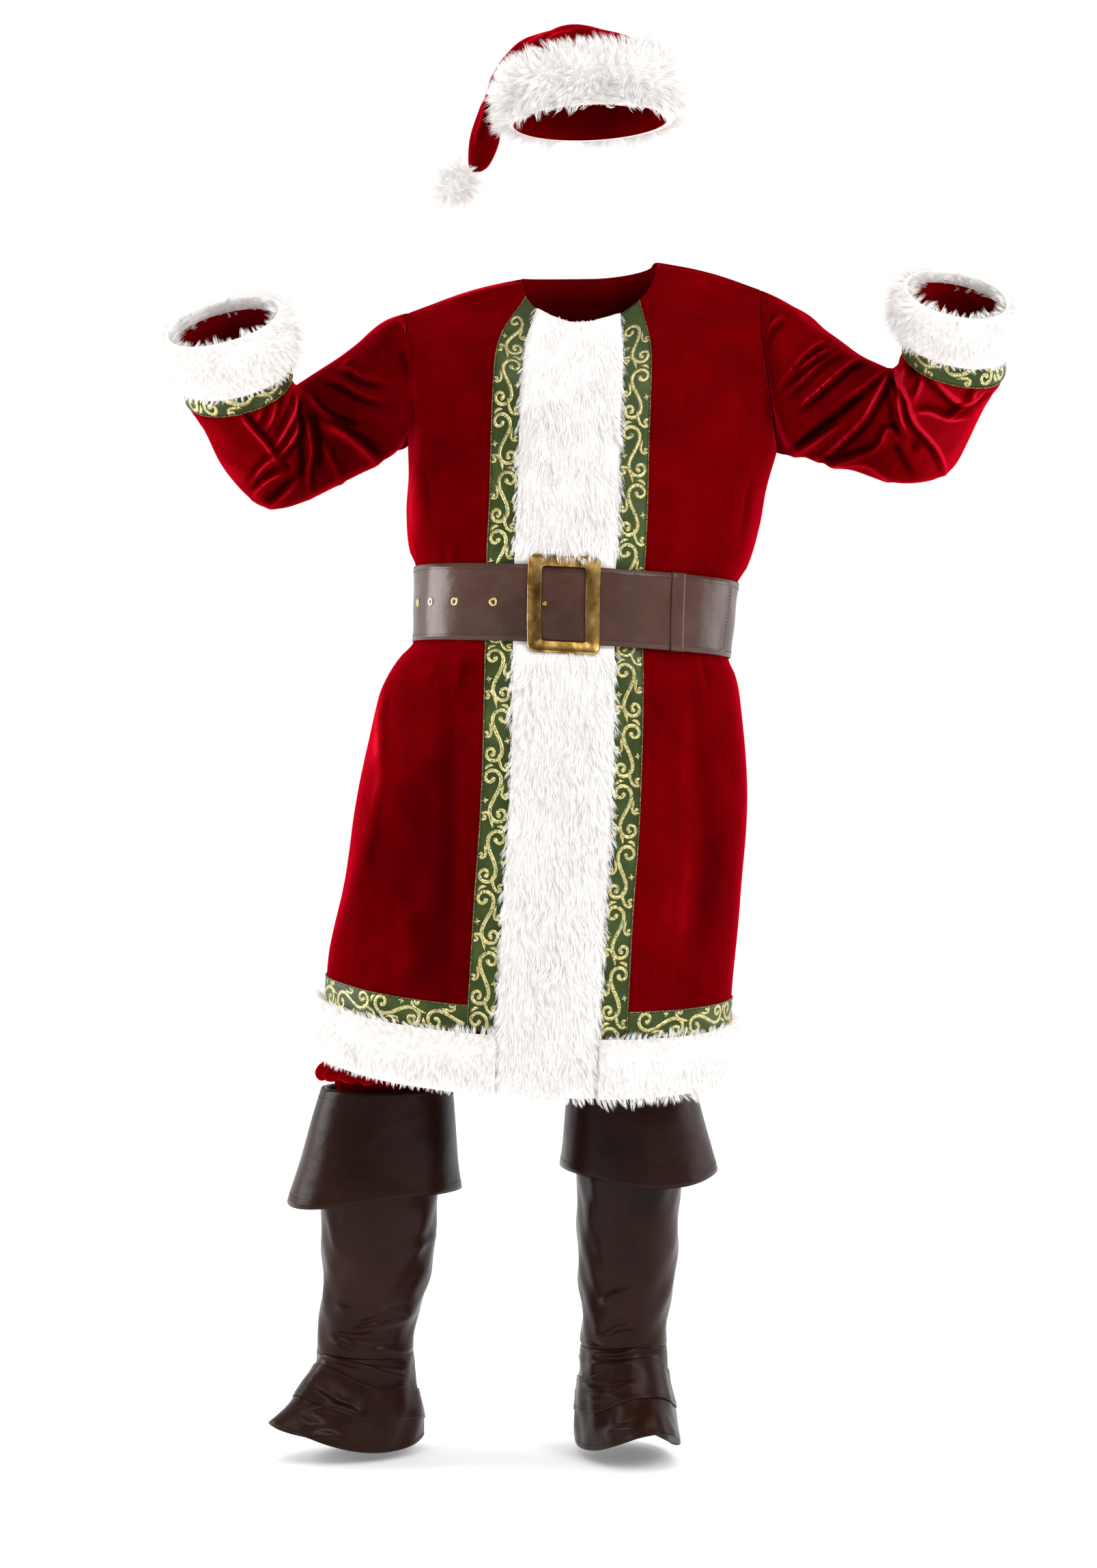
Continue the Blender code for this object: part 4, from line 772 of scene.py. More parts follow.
def wall_faces(rows, columns, wrap, every):
    """Faces of a closed wall. Corners are (row, column, 0 on the outer side or 1 on the inner)."""
    last = columns if wrap else columns - 1
    some_rows, some_columns = ([*range(0, end, every), end] for end in (rows - 1, last))
    faces = []
    for ups, acrosses, layer, step in ((range(rows), range(last + 1), 0, 1), (some_rows, some_columns, 1, -1)):
        for a, b in zip(ups, ups[1:]):
            for p, q in zip(acrosses, acrosses[1:]):
                faces.append([(a, p, layer), (a, q, layer), (b, q, layer), (b, p, layer)][::step])
    edges = [(some_columns, lambda k: (0, k), False), (some_columns, lambda k: (rows - 1, k), True)]
    if not wrap:
        edges += [(some_rows, lambda k: (k, 0), True), (some_rows, lambda k: (k, last), False)]
    for stops, spot, onward in edges:
        for p, q in zip(stops, stops[1:]):
            run = range(p, q + 1) if onward else range(q, p - 1, -1)
            faces.append([(*spot(k), 0) for k in run] + [(*spot(run[-1]), 1), (*spot(run[0]), 1)])
    return faces


def faces_inwards(points, faces):
    fans = np.array([(face[0], face[k], face[k + 1]) for face in faces for k in range(1, len(face) - 1)])
    a, b, c = points[fans].transpose(1, 0, 2)
    return np.einsum("ij,ij->", a, np.cross(b, c)) < 0


def wall(name, outer, inner, material, wrap=False, every=1, fields=None):
    """A closed wall between two grids, with its own run of the cloth in metres as its UV map.

    The inner side keeps only every so many rows and columns. fields are named values for the
    points of the outer grid and of the inner one."""
    rows, columns = outer.shape[:2]
    corners = wall_faces(rows, columns, wrap, every)
    kept = sorted({(r, c % columns) for face in corners for r, c, layer in face if layer})
    number = {(r, c, 0): r * columns + c for r in range(rows) for c in range(columns)}
    number |= {(*spot, 1): rows * columns + k for k, spot in enumerate(kept)}
    kept = tuple(np.array(kept).T)
    points = np.concatenate([outer.reshape(-1, 3), inner[kept]])
    if faces_inwards(points, [[number[r, c % columns, layer] for r, c, layer in face] for face in corners]):
        corners = [face[::-1] if every == 1 else [face[0], *face[:0:-1]] for face in corners]
    faces = [[number[r, c % columns, layer] for r, c, layer in face] for face in corners]
    ring = closed(outer) if wrap else outer
    run = np.stack([border_run(ring, 1), border_run(ring, 0)], axis=2)
    r, c, _ = np.array([corner for face in corners for corner in face]).T
    made = add_piece(name, points, faces, material, run[r, c])
    for key, (above, below) in (fields or {}).items():
        values = above.reshape(rows * columns, *above.shape[2:])
        put_field(made.data, key, np.concatenate([values, below[kept]]))
    return made


def lowest_near(height, reach, wrap):
    """The lowest height within this many rows and columns of each point."""
    low = height
    for axis in (0, 1):
        pad = [(0, 0), (0, 0)]
        pad[axis] = (reach, reach)
        padded = np.pad(low, pad, mode="wrap" if wrap and axis == 1 else "edge")
        size = low.shape[axis]
        low = np.min([np.take(padded, range(k, k + size), axis=axis) for k in range(2 * reach + 1)], axis=0)
    return low


def cloth_wall(name, outer, normals, nap, wrap=False):
    """A velvet wall with a fine outer side and a plainer inner side that keeps inside every crease.

    The painted light and shade goes with the outer points, to lighten or darken the pile's colour."""
    every = 3
    plain = outer
    for _ in range(4):
        ends = plain[[0, -1]].copy()
        sides = plain[:, [0, -1]].copy()
        across = np.roll(plain, 1, 1) + np.roll(plain, -1, 1)
        up = np.concatenate([plain[:1], plain[:-1]]) + np.concatenate([plain[1:], plain[-1:]])
        plain = (across + up) / 4
        plain[[0, -1]] = ends
        if not wrap:
            plain[:, [0, -1]] = sides
    low = lowest_near(np.minimum(((outer - plain) * normals).sum(axis=2), 0.0), every, wrap)
    inner = lifted(plain, normals, low - CLOTH)
    # The painted light and shade is kept on the points for the velvet's colour.
    return wall(name, outer, inner, VELVET, wrap, every, {"nap": (nap, nap)})


def ring_faces(rows, columns, ends_meet=False):
    """Quads between one ring of a grid and the next, and from the last to the first if the ends meet."""
    steps = rows if ends_meet else rows - 1
    r, c = (a.ravel() for a in np.meshgrid(np.arange(steps), np.arange(columns), indexing="ij"))
    n, m = (r + 1) % rows, (c + 1) % columns
    faces = np.stack([r * columns + c, r * columns + m, n * columns + m, n * columns + c], axis=1)
    return faces.tolist()


def tube_along(name, line, radius, material, around=4):
    """A thin closed cord along a line of points, with flat ends."""
    way = unit(np.gradient(line, axis=0))
    side = unit(np.cross(way, np.array((0.13, 0.31, 0.94))))
    up = np.cross(side, way)
    turn = circle(around)
    ring = np.cos(turn)[None, :, None] * side[:, None] + np.sin(turn)[None, :, None] * up[:, None]
    points = line[:, None] + ring * radius
    last = (len(line) - 1) * around
    ends = [list(range(around))[::-1], list(range(last, last + around))]
    return add_piece(name, points.reshape(-1, 3), ring_faces(len(line), around) + ends, material)


def joined(name, pieces):
    """These objects as one, named name."""
    with bpy.context.temp_override(
        active_object=pieces[0], object=pieces[0], selected_editable_objects=pieces
    ):
        bpy.ops.object.join()
    pieces[0].name = name
    pieces[0].data.name = name
    return pieces[0]


def finish_piece(piece, slot, *nodes):
    """A piece of the suit that stands for these nodes of the solids, if any. slot is not used."""
    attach(piece, "root")
    if nodes:
        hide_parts(*nodes)
    return piece


def cut_size(points, wrap=False):
    """Widest and longest run of a creased grid, and its area: the cloth that is cut for it."""
    ring = closed(points) if wrap else points
    wide = border_run(ring, 1)[:, -1]
    tall = border_run(ring, 0)[-1]
    a, b = np.diff(ring, axis=1)[:-1], np.diff(ring, axis=0)[:, :-1]
    area = np.linalg.norm(np.cross(a, b), axis=2).sum()
    width, length = float(wide.max()), float(tall.max())
    return (width, length), float(np.clip(area, 0.301 * width * length, width * length))


def finish_sheet(piece, slot, node, cut):
    """A sheet that stands for a node. cut, the size and area it is cut to, is not used."""
    finish_piece(piece, slot, node)


def cloth_piece(node, points, normals, nap, cut, wrap=False):
    piece = cloth_wall(node + "_cloth", points, normals, nap, wrap)
    finish_sheet(piece, "velvet", node, cut)


# ---- node helpers


def feed(tree, socket, value):
    """Links or sets one input. A colour of three numbers is given its fourth."""
    if isinstance(value, bpy.types.NodeSocket):
        tree.links.new(value, socket)
    elif socket.type == "RGBA":
        socket.default_value = (*value, 1.0)
    else:
        socket.default_value = value


def feed_all(tree, node, **inputs):
    """Feeds a node's inputs by name, with _ for a space."""
    for key, value in inputs.items():
        feed(tree, node.inputs[key.replace("_", " ")], value)


def add_node(tree, kind, settings=None, **inputs):
    made = tree.nodes.new(kind)
    for key, value in (settings or {}).items():
        setattr(made, key, value)
    feed_all(tree, made, **inputs)
    return made


def shown(node, name=None):
    """The node's output of this name that is in use."""
    return next(s for s in node.outputs if s.enabled and name in (None, s.name))


def material_base(name, **inputs):
    made = bpy.data.materials.new(name)
    made.use_nodes = True
    shader = made.node_tree.nodes["Principled BSDF"]
    feed_all(made.node_tree, shader, **inputs)
    return made, made.node_tree, shader


def maths(tree, operation, *values):
    made = add_node(tree, "ShaderNodeMath", {"operation": operation})
    for socket, value in zip(made.inputs, values):
        feed(tree, socket, value)
    return made.outputs["Value"]


def place(tree, stretch=(1.0, 1.0, 1.0), source="Object"):
    coordinates = add_node(tree, "ShaderNodeTexCoord").outputs[source]
    return add_node(tree, "ShaderNodeMapping", Vector=coordinates, Scale=stretch).outputs["Vector"]


def noise(tree, vector, scale, detail=3.0, roughness=0.5):
    made = add_node(tree, "ShaderNodeTexNoise", Vector=vector, Scale=scale, Detail=detail, Roughness=roughness)
    return made.outputs["Fac"]


def ramp(tree, value, *stops):
    """Colour ramp: stops are (position, (r, g, b))."""
    made = add_node(tree, "ShaderNodeValToRGB", Fac=value)
    elements = made.color_ramp.elements
    while len(elements) < len(stops):
        elements.new(0.5)
    for element, (position, colour) in zip(elements, stops):
        element.position = position
        element.color = (*colour, 1.0)
    return made.outputs["Color"]


def levels_of(tree, value, low, high, to_low=0.0, to_high=1.0):
    """The value's range from low to high, stretched to another range."""
    ends = {"From_Min": low, "From_Max": high, "To_Min": to_low, "To_Max": to_high}
    return add_node(tree, "ShaderNodeMapRange", Value=value, **ends).outputs["Result"]


def mixed(tree, factor, first, second, blend="MIX"):
    made = add_node(tree, "ShaderNodeMix", {"data_type": "RGBA", "blend_type": blend})
    for number, value in ((0, factor), (6, first), (7, second)):
        feed(tree, made.inputs[number], value)
    return made.outputs[2]


def bumped(tree, height, strength, distance, normal=None):
    made = add_node(tree, "ShaderNodeBump", Height=height, Strength=strength, Distance=distance)
    if normal is not None:
        tree.links.new(normal, made.inputs["Normal"])
    return made.outputs["Normal"]


# ---- materials


def velvet_material():
    """Short red pile: painted shade makes it near black in the creases and painted highlights make it crimson
    on their crests; the sheen makes it crimson where it is seen across.
    """
    made, tree, shader = material_base("red_velvet", Roughness=0.8, Specular_IOR_Level=0.0)
    feed_all(tree, shader, Sheen_Weight=1.0, Sheen_Roughness=0.3, Sheen_Tint=(1.0, 0.003, 0.026))
    spot = place(tree)
    crushed = levels_of(tree, noise(tree, spot, 11.0, 4.0, 0.62), 0.3, 0.7, 0.55, 0.72)
    brushed = noise(tree, place(tree, (60.0, 60.0, 9.0)), 1.0, 3.0, 0.55)
    # The painted light and shade of the creases and patches, read from the points.
    painted_shading_read = add_node(tree, "ShaderNodeAttribute", {"attribute_name": "nap"}).outputs["Fac"]
    lies = maths(tree, "MULTIPLY_ADD", brushed, 0.14, crushed)
    # The pile's colour: random crushing and streaks, lightened or darkened by the painted light and shade.
    tone = ramp(
        tree,
        maths(tree, "MULTIPLY_ADD", painted_shading_read, 0.36, lies),
        (0.3, (0.014, 0.0, 0.0002)),
        (0.55, (0.066, 0.0, 0.0006)),
        (0.78, (0.15, 0.0002, 0.0014)),
        (0.95, (0.33, 0.002, 0.008)),
        (1.0, (0.52, 0.006, 0.022)),
    )
    pile = noise(tree, spot, 1400.0, 2.0)
    normal = bumped(tree, noise(tree, spot, 55.0), 0.25, 0.002)
    feed_all(tree, shader, Base_Color=tone, Normal=bumped(tree, pile, 0.35, 0.0006, normal))
    return made


def fur_material():
    """White pile with painted shade greying it towards the roots, bright at the tips, and a faint painted glow
    that lifts the shade between the hairs. v runs from root to tip.
    """
    made, tree, shader = material_base("white_fur", Roughness=0.9, Specular_IOR_Level=0.05)
    # Painted glow: a faint emission that lifts the shade between the hairs.
    feed_all(tree, shader, Emission_Strength=0.05, Emission_Color=(1.0, 0.985, 0.97))
    along = add_node(tree, "ShaderNodeSeparateXYZ", Vector=place(tree, source="UV")).outputs["Y"]
    # Painted shade: the colour greys towards the roots.
    shades = (0.0, (0.8, 0.765, 0.74)), (0.4, (0.905, 0.89, 0.88)), (1.0, (0.985, 0.98, 0.975))
    patches = noise(tree, place(tree), 26.0)
    tone = ramp(tree, patches, (0.3, (0.95, 0.935, 0.925)), (0.6, (1.0, 1.0, 1.0)))
    feed_all(tree, shader, Base_Color=mixed(tree, 0.8, ramp(tree, along, *shades), tone, "MULTIPLY"))
    return made


def satin_material():
    made, tree, shader = material_base("green_satin", Roughness=0.4, Specular_IOR_Level=0.16)
    spot = place(tree)
    shades = (0.3, (0.022, 0.034, 0.007)), (0.55, (0.038, 0.058, 0.013)), (0.8, (0.075, 0.108, 0.028))
    tone = ramp(tree, noise(tree, spot, 22.0, 4.0, 0.6), *shades)
    weave = noise(tree, place(tree, (2600.0, 300.0, 2600.0)), 1.0, 1.0)
    normal = bumped(tree, noise(tree, spot, 60.0), 0.35, 0.0015)
    feed_all(tree, shader, Base_Color=tone, Normal=bumped(tree, weave, 0.25, 0.0003, normal))
    return made


def glitter_material():
    """Gold glitter in glue, worn through to the green cloth in places."""
    made, tree, shader = material_base("gold_glitter", Specular_IOR_Level=0.5)
    spot = place(tree)
    cells = add_node(tree, "ShaderNodeTexVoronoi", Vector=spot, Scale=1500.0).outputs["Color"]
    shades = (0.0, (0.26, 0.2, 0.055)), (0.5, (0.62, 0.53, 0.2)), (1.0, (0.98, 0.94, 0.52))
    spark = ramp(tree, add_node(tree, "ShaderNodeSeparateColor", Color=cells).outputs[0], *shades)
    worn = levels_of(tree, noise(tree, spot, 420.0, 4.0, 0.7), 0.4, 0.47)
    feed_all(
        tree, shader, Base_Color=mixed(tree, worn, (0.04, 0.085, 0.025), spark),
        Metallic=levels_of(tree, worn, 0.0, 1.0, 0.0, 0.85),
        Roughness=levels_of(tree, worn, 0.0, 1.0, 0.6, 0.36), Normal=bumped(tree, cells, 0.6, 0.0004),
    )
    return made


def cord_material():
    made, tree, shader = material_base("edge_thread", Roughness=0.5)
    flecks = noise(tree, place(tree), 620.0, 2.0)
    tone = ramp(tree, flecks, (0.5, (0.014, 0.03, 0.012)), (0.62, (0.33, 0.25, 0.07)))
    feed_all(tree, shader, Base_Color=tone)
    return made


def leather_material(name, dark, light, roughness, grain, gloss, ripples, depth):
    """Faux leather: soft patches, fine grain, small wrinkles, and ripples (how many to a metre, flatness)."""
    made, tree, shader = material_base(name, Specular_IOR_Level=gloss)
    spot = place(tree)
    patches = noise(tree, spot, 9.0, 4.0, 0.6)
    tone = ramp(tree, patches, (0.3, dark), (0.72, light))
    rubbed = levels_of(tree, noise(tree, place(tree, (1.0, 1.0, 3.0)), 70.0, 4.0, 0.65), 0.62, 0.8, 0.0, 0.35)
    pores = add_node(tree, "ShaderNodeTexVoronoi", {"feature": "SMOOTH_F1"}, Vector=spot, Scale=grain)
    ripple = bumped(tree, noise(tree, place(tree, (1.0, 1.0, ripples[1])), ripples[0], 2.0), depth, 0.006)
    normal = bumped(tree, noise(tree, spot, 34.0, 4.0, 0.6), 0.35, 0.0022, ripple)
    feed_all(
        tree, shader, Base_Color=mixed(tree, rubbed, tone, tuple(1.6 * c for c in light)),
        Roughness=levels_of(tree, patches, 0.2, 0.8, roughness + 0.06, roughness - 0.06),
        Normal=bumped(tree, pores.outputs["Distance"], 0.16, 0.0004, normal),
    )
    return made


def brass_material():
    """Mottled antique brass, darker in blotches and brighter where it is rubbed."""
    made, tree, shader = material_base("antique_brass", Metallic=1.0)
    blotch = noise(tree, place(tree, (1.0, 1.0, 0.6)), 62.0, 3.0, 0.55)
    tone = ramp(
        tree,
        blotch,
        (0.34, (0.095, 0.048, 0.01)),
        (0.48, (0.23, 0.13, 0.032)),
        (0.62, (0.44, 0.275, 0.085)),
        (0.76, (0.72, 0.52, 0.22)),
    )
    shine = levels_of(tree, blotch, 0.3, 0.7, 0.34, 0.2)
    brushed = noise(tree, place(tree, (900.0, 900.0, 30.0)), 1.0, 2.0)
    feed_all(tree, shader, Base_Color=tone, Roughness=shine, Normal=bumped(tree, brushed, 0.08, 0.0003))
    return made


def plain_material(name, colour, roughness, metallic=0.0):
    made, tree, shader = material_base(name, Roughness=roughness, Metallic=metallic)
    shades = [(at, tuple(share * c for c in colour)) for at, share in ((0.3, 0.8), (0.7, 1.15))]
    feed_all(tree, shader, Base_Color=ramp(tree, noise(tree, place(tree), 300.0, 2.0), *shades))
    return made


VELVET = velvet_material()
FUR = fur_material()
SATIN = satin_material()
GLITTER = glitter_material()
EDGE_THREAD = cord_material()
BELT_LEATHER = leather_material(
    *("brown_belt_leather", (0.04, 0.017, 0.0115), (0.092, 0.044, 0.034), 0.27),
    **{"grain": 900.0, "gloss": 0.24, "ripples": (13.0, 0.35), "depth": 0.5},
)
BOOT_LEATHER = leather_material(
    *("brown_boot_leather", (0.0105, 0.0028, 0.0012), (0.026, 0.008, 0.0042), 0.31),
    **{"grain": 1100.0, "gloss": 0.11, "ripples": (11.0, 1.5), "depth": 0.4},
)
BRASS = brass_material()
DARK_THREAD = plain_material("dark_thread", (0.02, 0.011, 0.01), 0.7)
EYELET_GOLD = plain_material("eyelet_gold", (0.72, 0.52, 0.22), 0.26, 1.0)


# ---- geometry node trees


def new_tree(name, *inputs):
    """A tree, the node its inputs come from and the node its result goes to."""
    tree = bpy.data.node_groups.new(name, "GeometryNodeTree")
    for label, kind in (("Geometry", "Geometry"), *inputs):
        tree.interface.new_socket(label, in_out="INPUT", socket_type="NodeSocket" + kind)
    tree.interface.new_socket("Geometry", in_out="OUTPUT", socket_type="NodeSocketGeometry")
    return tree, tree.nodes.new("NodeGroupInput").outputs, tree.nodes.new("NodeGroupOutput")


def field(tree, name, kind="FLOAT"):
    made = add_node(tree, "GeometryNodeInputNamedAttribute", {"data_type": kind}, Name=name)
    return shown(made, "Attribute")


def pointed(tree, axis, along, second, towards):
    """A rotation that lays one axis along a direction, and rolls it to turn a second one towards another."""
    kind = "FunctionNodeAlignRotationToVector"
    laid = add_node(tree, kind, {"axis": axis}, Vector=along).outputs["Rotation"]
    rolled = add_node(tree, kind, {"axis": second, "pivot_axis": axis}, Rotation=laid, Vector=towards)
    return rolled.outputs["Rotation"]


def paint_result(tree, result, geometry, material):
    painted = add_node(tree, "GeometryNodeSetMaterial", Geometry=geometry, Material=material)
    tree.links.new(painted.outputs["Geometry"], result.inputs["Geometry"])
    return tree


def pile_tree():
    """Locks of hair scattered on a surface, each along the surface's own flow."""
    inputs = ("Spacing", "Float"), ("Seed", "Int"), ("Locks", "Collection"), ("Hair", "Material")
    tree, given, result = new_tree("fur_pile", *inputs)
    points = add_node(
        tree, "GeometryNodeDistributePointsOnFaces", {"distribute_method": "POISSON"},
        Mesh=given["Geometry"], Distance_Min=given["Spacing"], Density_Max=400000.0,
        Density_Factor=field(tree, "grows"), Seed=given["Seed"],
    )
    whole = {"Separate_Children": True, "Reset_Children": True}
    locks = add_node(tree, "GeometryNodeCollectionInfo", Collection=given["Locks"], **whole)
    inward = add_node(tree, "ShaderNodeVectorMath", {"operation": "SCALE"}, Scale=-1.0)
    tree.links.new(points.outputs["Normal"], inward.inputs[0])
    laid = pointed(tree, "Z", field(tree, "flow", "FLOAT_VECTOR"), "X", inward.outputs["Vector"])
    tilts = {"Min": (-0.18, -0.22, -0.5), "Max": (0.18, 0.12, 0.5)}
    jitter = add_node(tree, "FunctionNodeRandomValue", {"data_type": "FLOAT_VECTOR"}, **tilts)
    turned = add_node(tree, "FunctionNodeEulerToRotation", Euler=shown(jitter))
    way = {"Rotation": laid, "Rotate_By": turned.outputs["Rotation"]}
    facing = add_node(tree, "FunctionNodeRotateRotation", {"rotation_space": "LOCAL"}, **way)
    size = add_node(tree, "FunctionNodeRandomValue", {"data_type": "FLOAT"}, Seed=5)
    shortest, longest = (s for s in size.inputs if s.enabled and s.name in ("Min", "Max"))
    shortest.default_value, longest.default_value = 0.72, 1.12
    placed = add_node(
        tree, "GeometryNodeInstanceOnPoints", Points=points.outputs["Points"],
        Instance=locks.outputs["Instances"], Pick_Instance=True, Rotation=facing.outputs["Rotation"],
        Scale=maths(tree, "MULTIPLY", shown(size), field(tree, "pile")),
    )
    real = add_node(tree, "GeometryNodeRealizeInstances", Geometry=placed.outputs["Instances"])
    both = add_node(tree, "GeometryNodeJoinGeometry", Geometry=real.outputs["Geometry"])
    tree.links.new(given["Geometry"], both.inputs["Geometry"])
    return paint_result(tree, result, both.outputs["Geometry"], given["Hair"])


def stitch_tree():
    """Stitches laid end to end along lines, each flat on the surface below it."""
    inputs = ("Pitch", "Float"), ("Stitch", "Object"), ("Thread", "Material")
    tree, given, result = new_tree("stitch_rows", *inputs)
    line = add_node(tree, "GeometryNodeMeshToCurve", Mesh=given["Geometry"]).outputs["Curve"]
    settings = {"mode": "LENGTH"}
    spaced = add_node(tree, "GeometryNodeResampleCurve", settings, Curve=line, Length=given["Pitch"])
    way = add_node(tree, "GeometryNodeInputTangent").outputs["Tangent"]
    placed = add_node(
        tree, "GeometryNodeInstanceOnPoints", Points=spaced.outputs["Curve"],
        Instance=add_node(tree, "GeometryNodeObjectInfo", Object=given["Stitch"]).outputs["Geometry"],
        Rotation=pointed(tree, "X", way, "Z", field(tree, "out", "FLOAT_VECTOR")),
    )
    real = add_node(tree, "GeometryNodeRealizeInstances", Geometry=placed.outputs["Instances"])
    return paint_result(tree, result, real.outputs["Geometry"], given["Thread"])


def grown(piece, tree, **inputs):
    """The piece's mesh replaced by what the tree makes of it."""
    modifier = piece.modifiers.new(tree.name, "NODES")
    modifier.node_group = tree
    for socket in tree.interface.items_tree:
        if socket.in_out == "INPUT" and socket.name in inputs:
            modifier[socket.identifier] = inputs[socket.name]
    bpy.context.view_layer.update()
    graph = bpy.context.evaluated_depsgraph_get()
    made = bpy.data.meshes.new_from_object(piece.evaluated_get(graph))
    piece.modifiers.clear()
    piece.data = made
    made.name = piece.name
    return piece


LOCK_VARIANTS = 5
BLADES = 15
LOCK_SPREAD = 0.17
BLADE_WIDTH = 0.027


def lock_mesh(number):
    """A lock of hair one unit long: thin tapered blades that face -X and lean together at the tips."""
    rng = np.random.default_rng(100 + number)
    points, faces, places = [], [], []
    tip = rng.normal(0.0, 0.04, 2)
    for _ in range(BLADES):
        angle, far = rng.uniform(0, 2 * math.pi), LOCK_SPREAD * math.sqrt(rng.uniform())
        root = np.array((math.cos(angle), math.sin(angle))) * far
        end = tip + root * rng.uniform(0.25, 0.9) + rng.normal(0.0, 0.025, 2)
        long = rng.uniform(0.65, 1.0)
        bend, sway = rng.uniform(0.08, 0.28), rng.normal(0.0, 0.05)
        facing = -math.pi / 2 + rng.normal(0.0, 0.45)
        across = np.array((math.cos(facing), math.sin(facing), 0.0)) * BLADE_WIDTH / 2
        start = len(points)
        for height, width in ((0.0, 0.9), (0.55, 1.0), (1.0, 0.0)):
            middle = root + (end - root) * height + np.array((bend, sway)) * height**2
            centre = np.array((*middle, height * long))
            ends = (centre - across * width, centre + across * width)
            points += ends if width else [centre]
            places += [height, height] if width else [height]
        faces += [(start, start + 1, start + 3, start + 2), (start + 2, start + 3, start + 4)]
    corners = [(0.5, places[k]) for face in faces for k in face]
    return points, faces, corners


def make_locks():
    held = bpy.data.collections.new("fur_locks")
    bpy.context.scene.collection.children.link(held)
    for number in range(LOCK_VARIANTS):
        points, faces, corners = lock_mesh(number)
        made = add_piece("lock_%d" % number, points, faces, FUR, corners)
        bpy.context.scene.collection.objects.unlink(made)
        held.objects.link(made)
    held.hide_render = True
    return held


STITCH_PITCH = 0.0045


def make_stitch():
    """One stitch: a small bar, narrower at its ends."""
    long, wide = 0.0016, 0.00042
    points = [(-long, 0, 0), (0, wide, 0), (0, 0, wide), (0, -wide, 0), (long, 0, 0)]
    faces = [(0, 2, 1), (0, 3, 2), (0, 1, 3), (4, 1, 2), (4, 2, 3), (4, 3, 1)]
    return add_piece("stitch", points, faces, DARK_THREAD)


LOCKS = make_locks()
PILE = pile_tree()
STITCH = make_stitch()
STITCH_ROWS = stitch_tree()


def stitched(name, lines, outs):
    """Stitches along these lines of points. outs are the surface normals at the points."""
    points = np.concatenate(lines)
    mesh = bpy.data.meshes.new(name)
    edges, start = [], 0
    for line in lines:
        edges += [(start + k, start + k + 1) for k in range(len(line) - 1)]
        start += len(line)
    mesh.from_pydata(points, edges, [])
    put_field(mesh, "out", np.concatenate(outs))
    piece = bpy.data.objects.new(name, mesh)
    bpy.context.scene.collection.objects.link(piece)
    return grown(piece, STITCH_ROWS, Pitch=STITCH_PITCH, Stitch=STITCH, Thread=DARK_THREAD)


def furred(node, base, inner, flow, pile, grows, seed, spacing=0.0055, wrap=False, lining=None):
    """A fur trim: a plump backing with locks of hair growing from its outer side.

    lining is the flow and the growth on its inner side, if hair grows there too."""
    shape = base.shape[:2]
    inner_flow, inner_grows = lining or (flow, 0.0)
    pile = np.broadcast_to(pile, shape)
    fields = {
        "flow": (unit(flow), unit(inner_flow)),
        "pile": (pile, pile),
        "grows": (np.broadcast_to(grows, shape), np.broadcast_to(inner_grows, shape)),
    }
    piece = wall(node + "_pile", base, inner, FUR, wrap, fields=fields)
    # The backing reads the hair's colour near the roots, with their painted shade.
    near_root = np.tile(np.float32((0.5, 0.3)), len(piece.data.loops))
    piece.data.uv_layers["UVMap"].uv.foreach_set("vector", near_root)
    grown(piece, PILE, Spacing=spacing, Seed=seed, Locks=LOCKS, Hair=FUR)
    return finish_piece(piece, "fur", node)


# Share of each fur trim's reach that its backing takes. The hair takes the rest.
BACKING = {"front": 0.72, "hem": 0.62, "cuff": 0.66, "hat": 0.66, "pom": 0.62}


def swirl(points, scale, seed):
    """A slow random vector field, for hair that lies in tufts."""
    return np.stack([drift(points, scale, seed + k) for k in range(3)], axis=-1)


# ---- coat

UPPER_FINE = 36
ARMHOLE_FINE = 96
FINE_LEVELS = np.concatenate([
    np.linspace(HEM, ARMPIT, 100)[:-1],
    ARMPIT * (1 - np.arange(UPPER_FINE + 1) / UPPER_FINE),
])
BACK_LEVELS = np.concatenate([FINE_LEVELS[:1], FINE_LEVELS[1::2]])
FRONT_FINE = np.concatenate([np.linspace(0.0, TRIM_EDGE, 6)[:-1], np.linspace(1.0, 2.0, 50)])
BACK_FINE = np.linspace(1.0, 2.0, 60)
DOWN = np.array((0.0, 0.0, -1.0))


def build_coat():
    for side in ("right", "left"):
        points, normals, nap = coat_cloth("front", FRONT_FINE, FINE_LEVELS, (side,))
        cut = cut_size(points)
        points = sink_seams(points, normals, (side, "top"))
        cloth_piece("coat_front_" + side, points, normals, nap, cut)
    points, normals, nap = coat_cloth("back", BACK_FINE, BACK_LEVELS)
    cut = cut_size(points)
    points = sink_seams(points, normals, ("right", "left", "top"))
    cloth_piece("coat_back", points, normals, nap, cut)


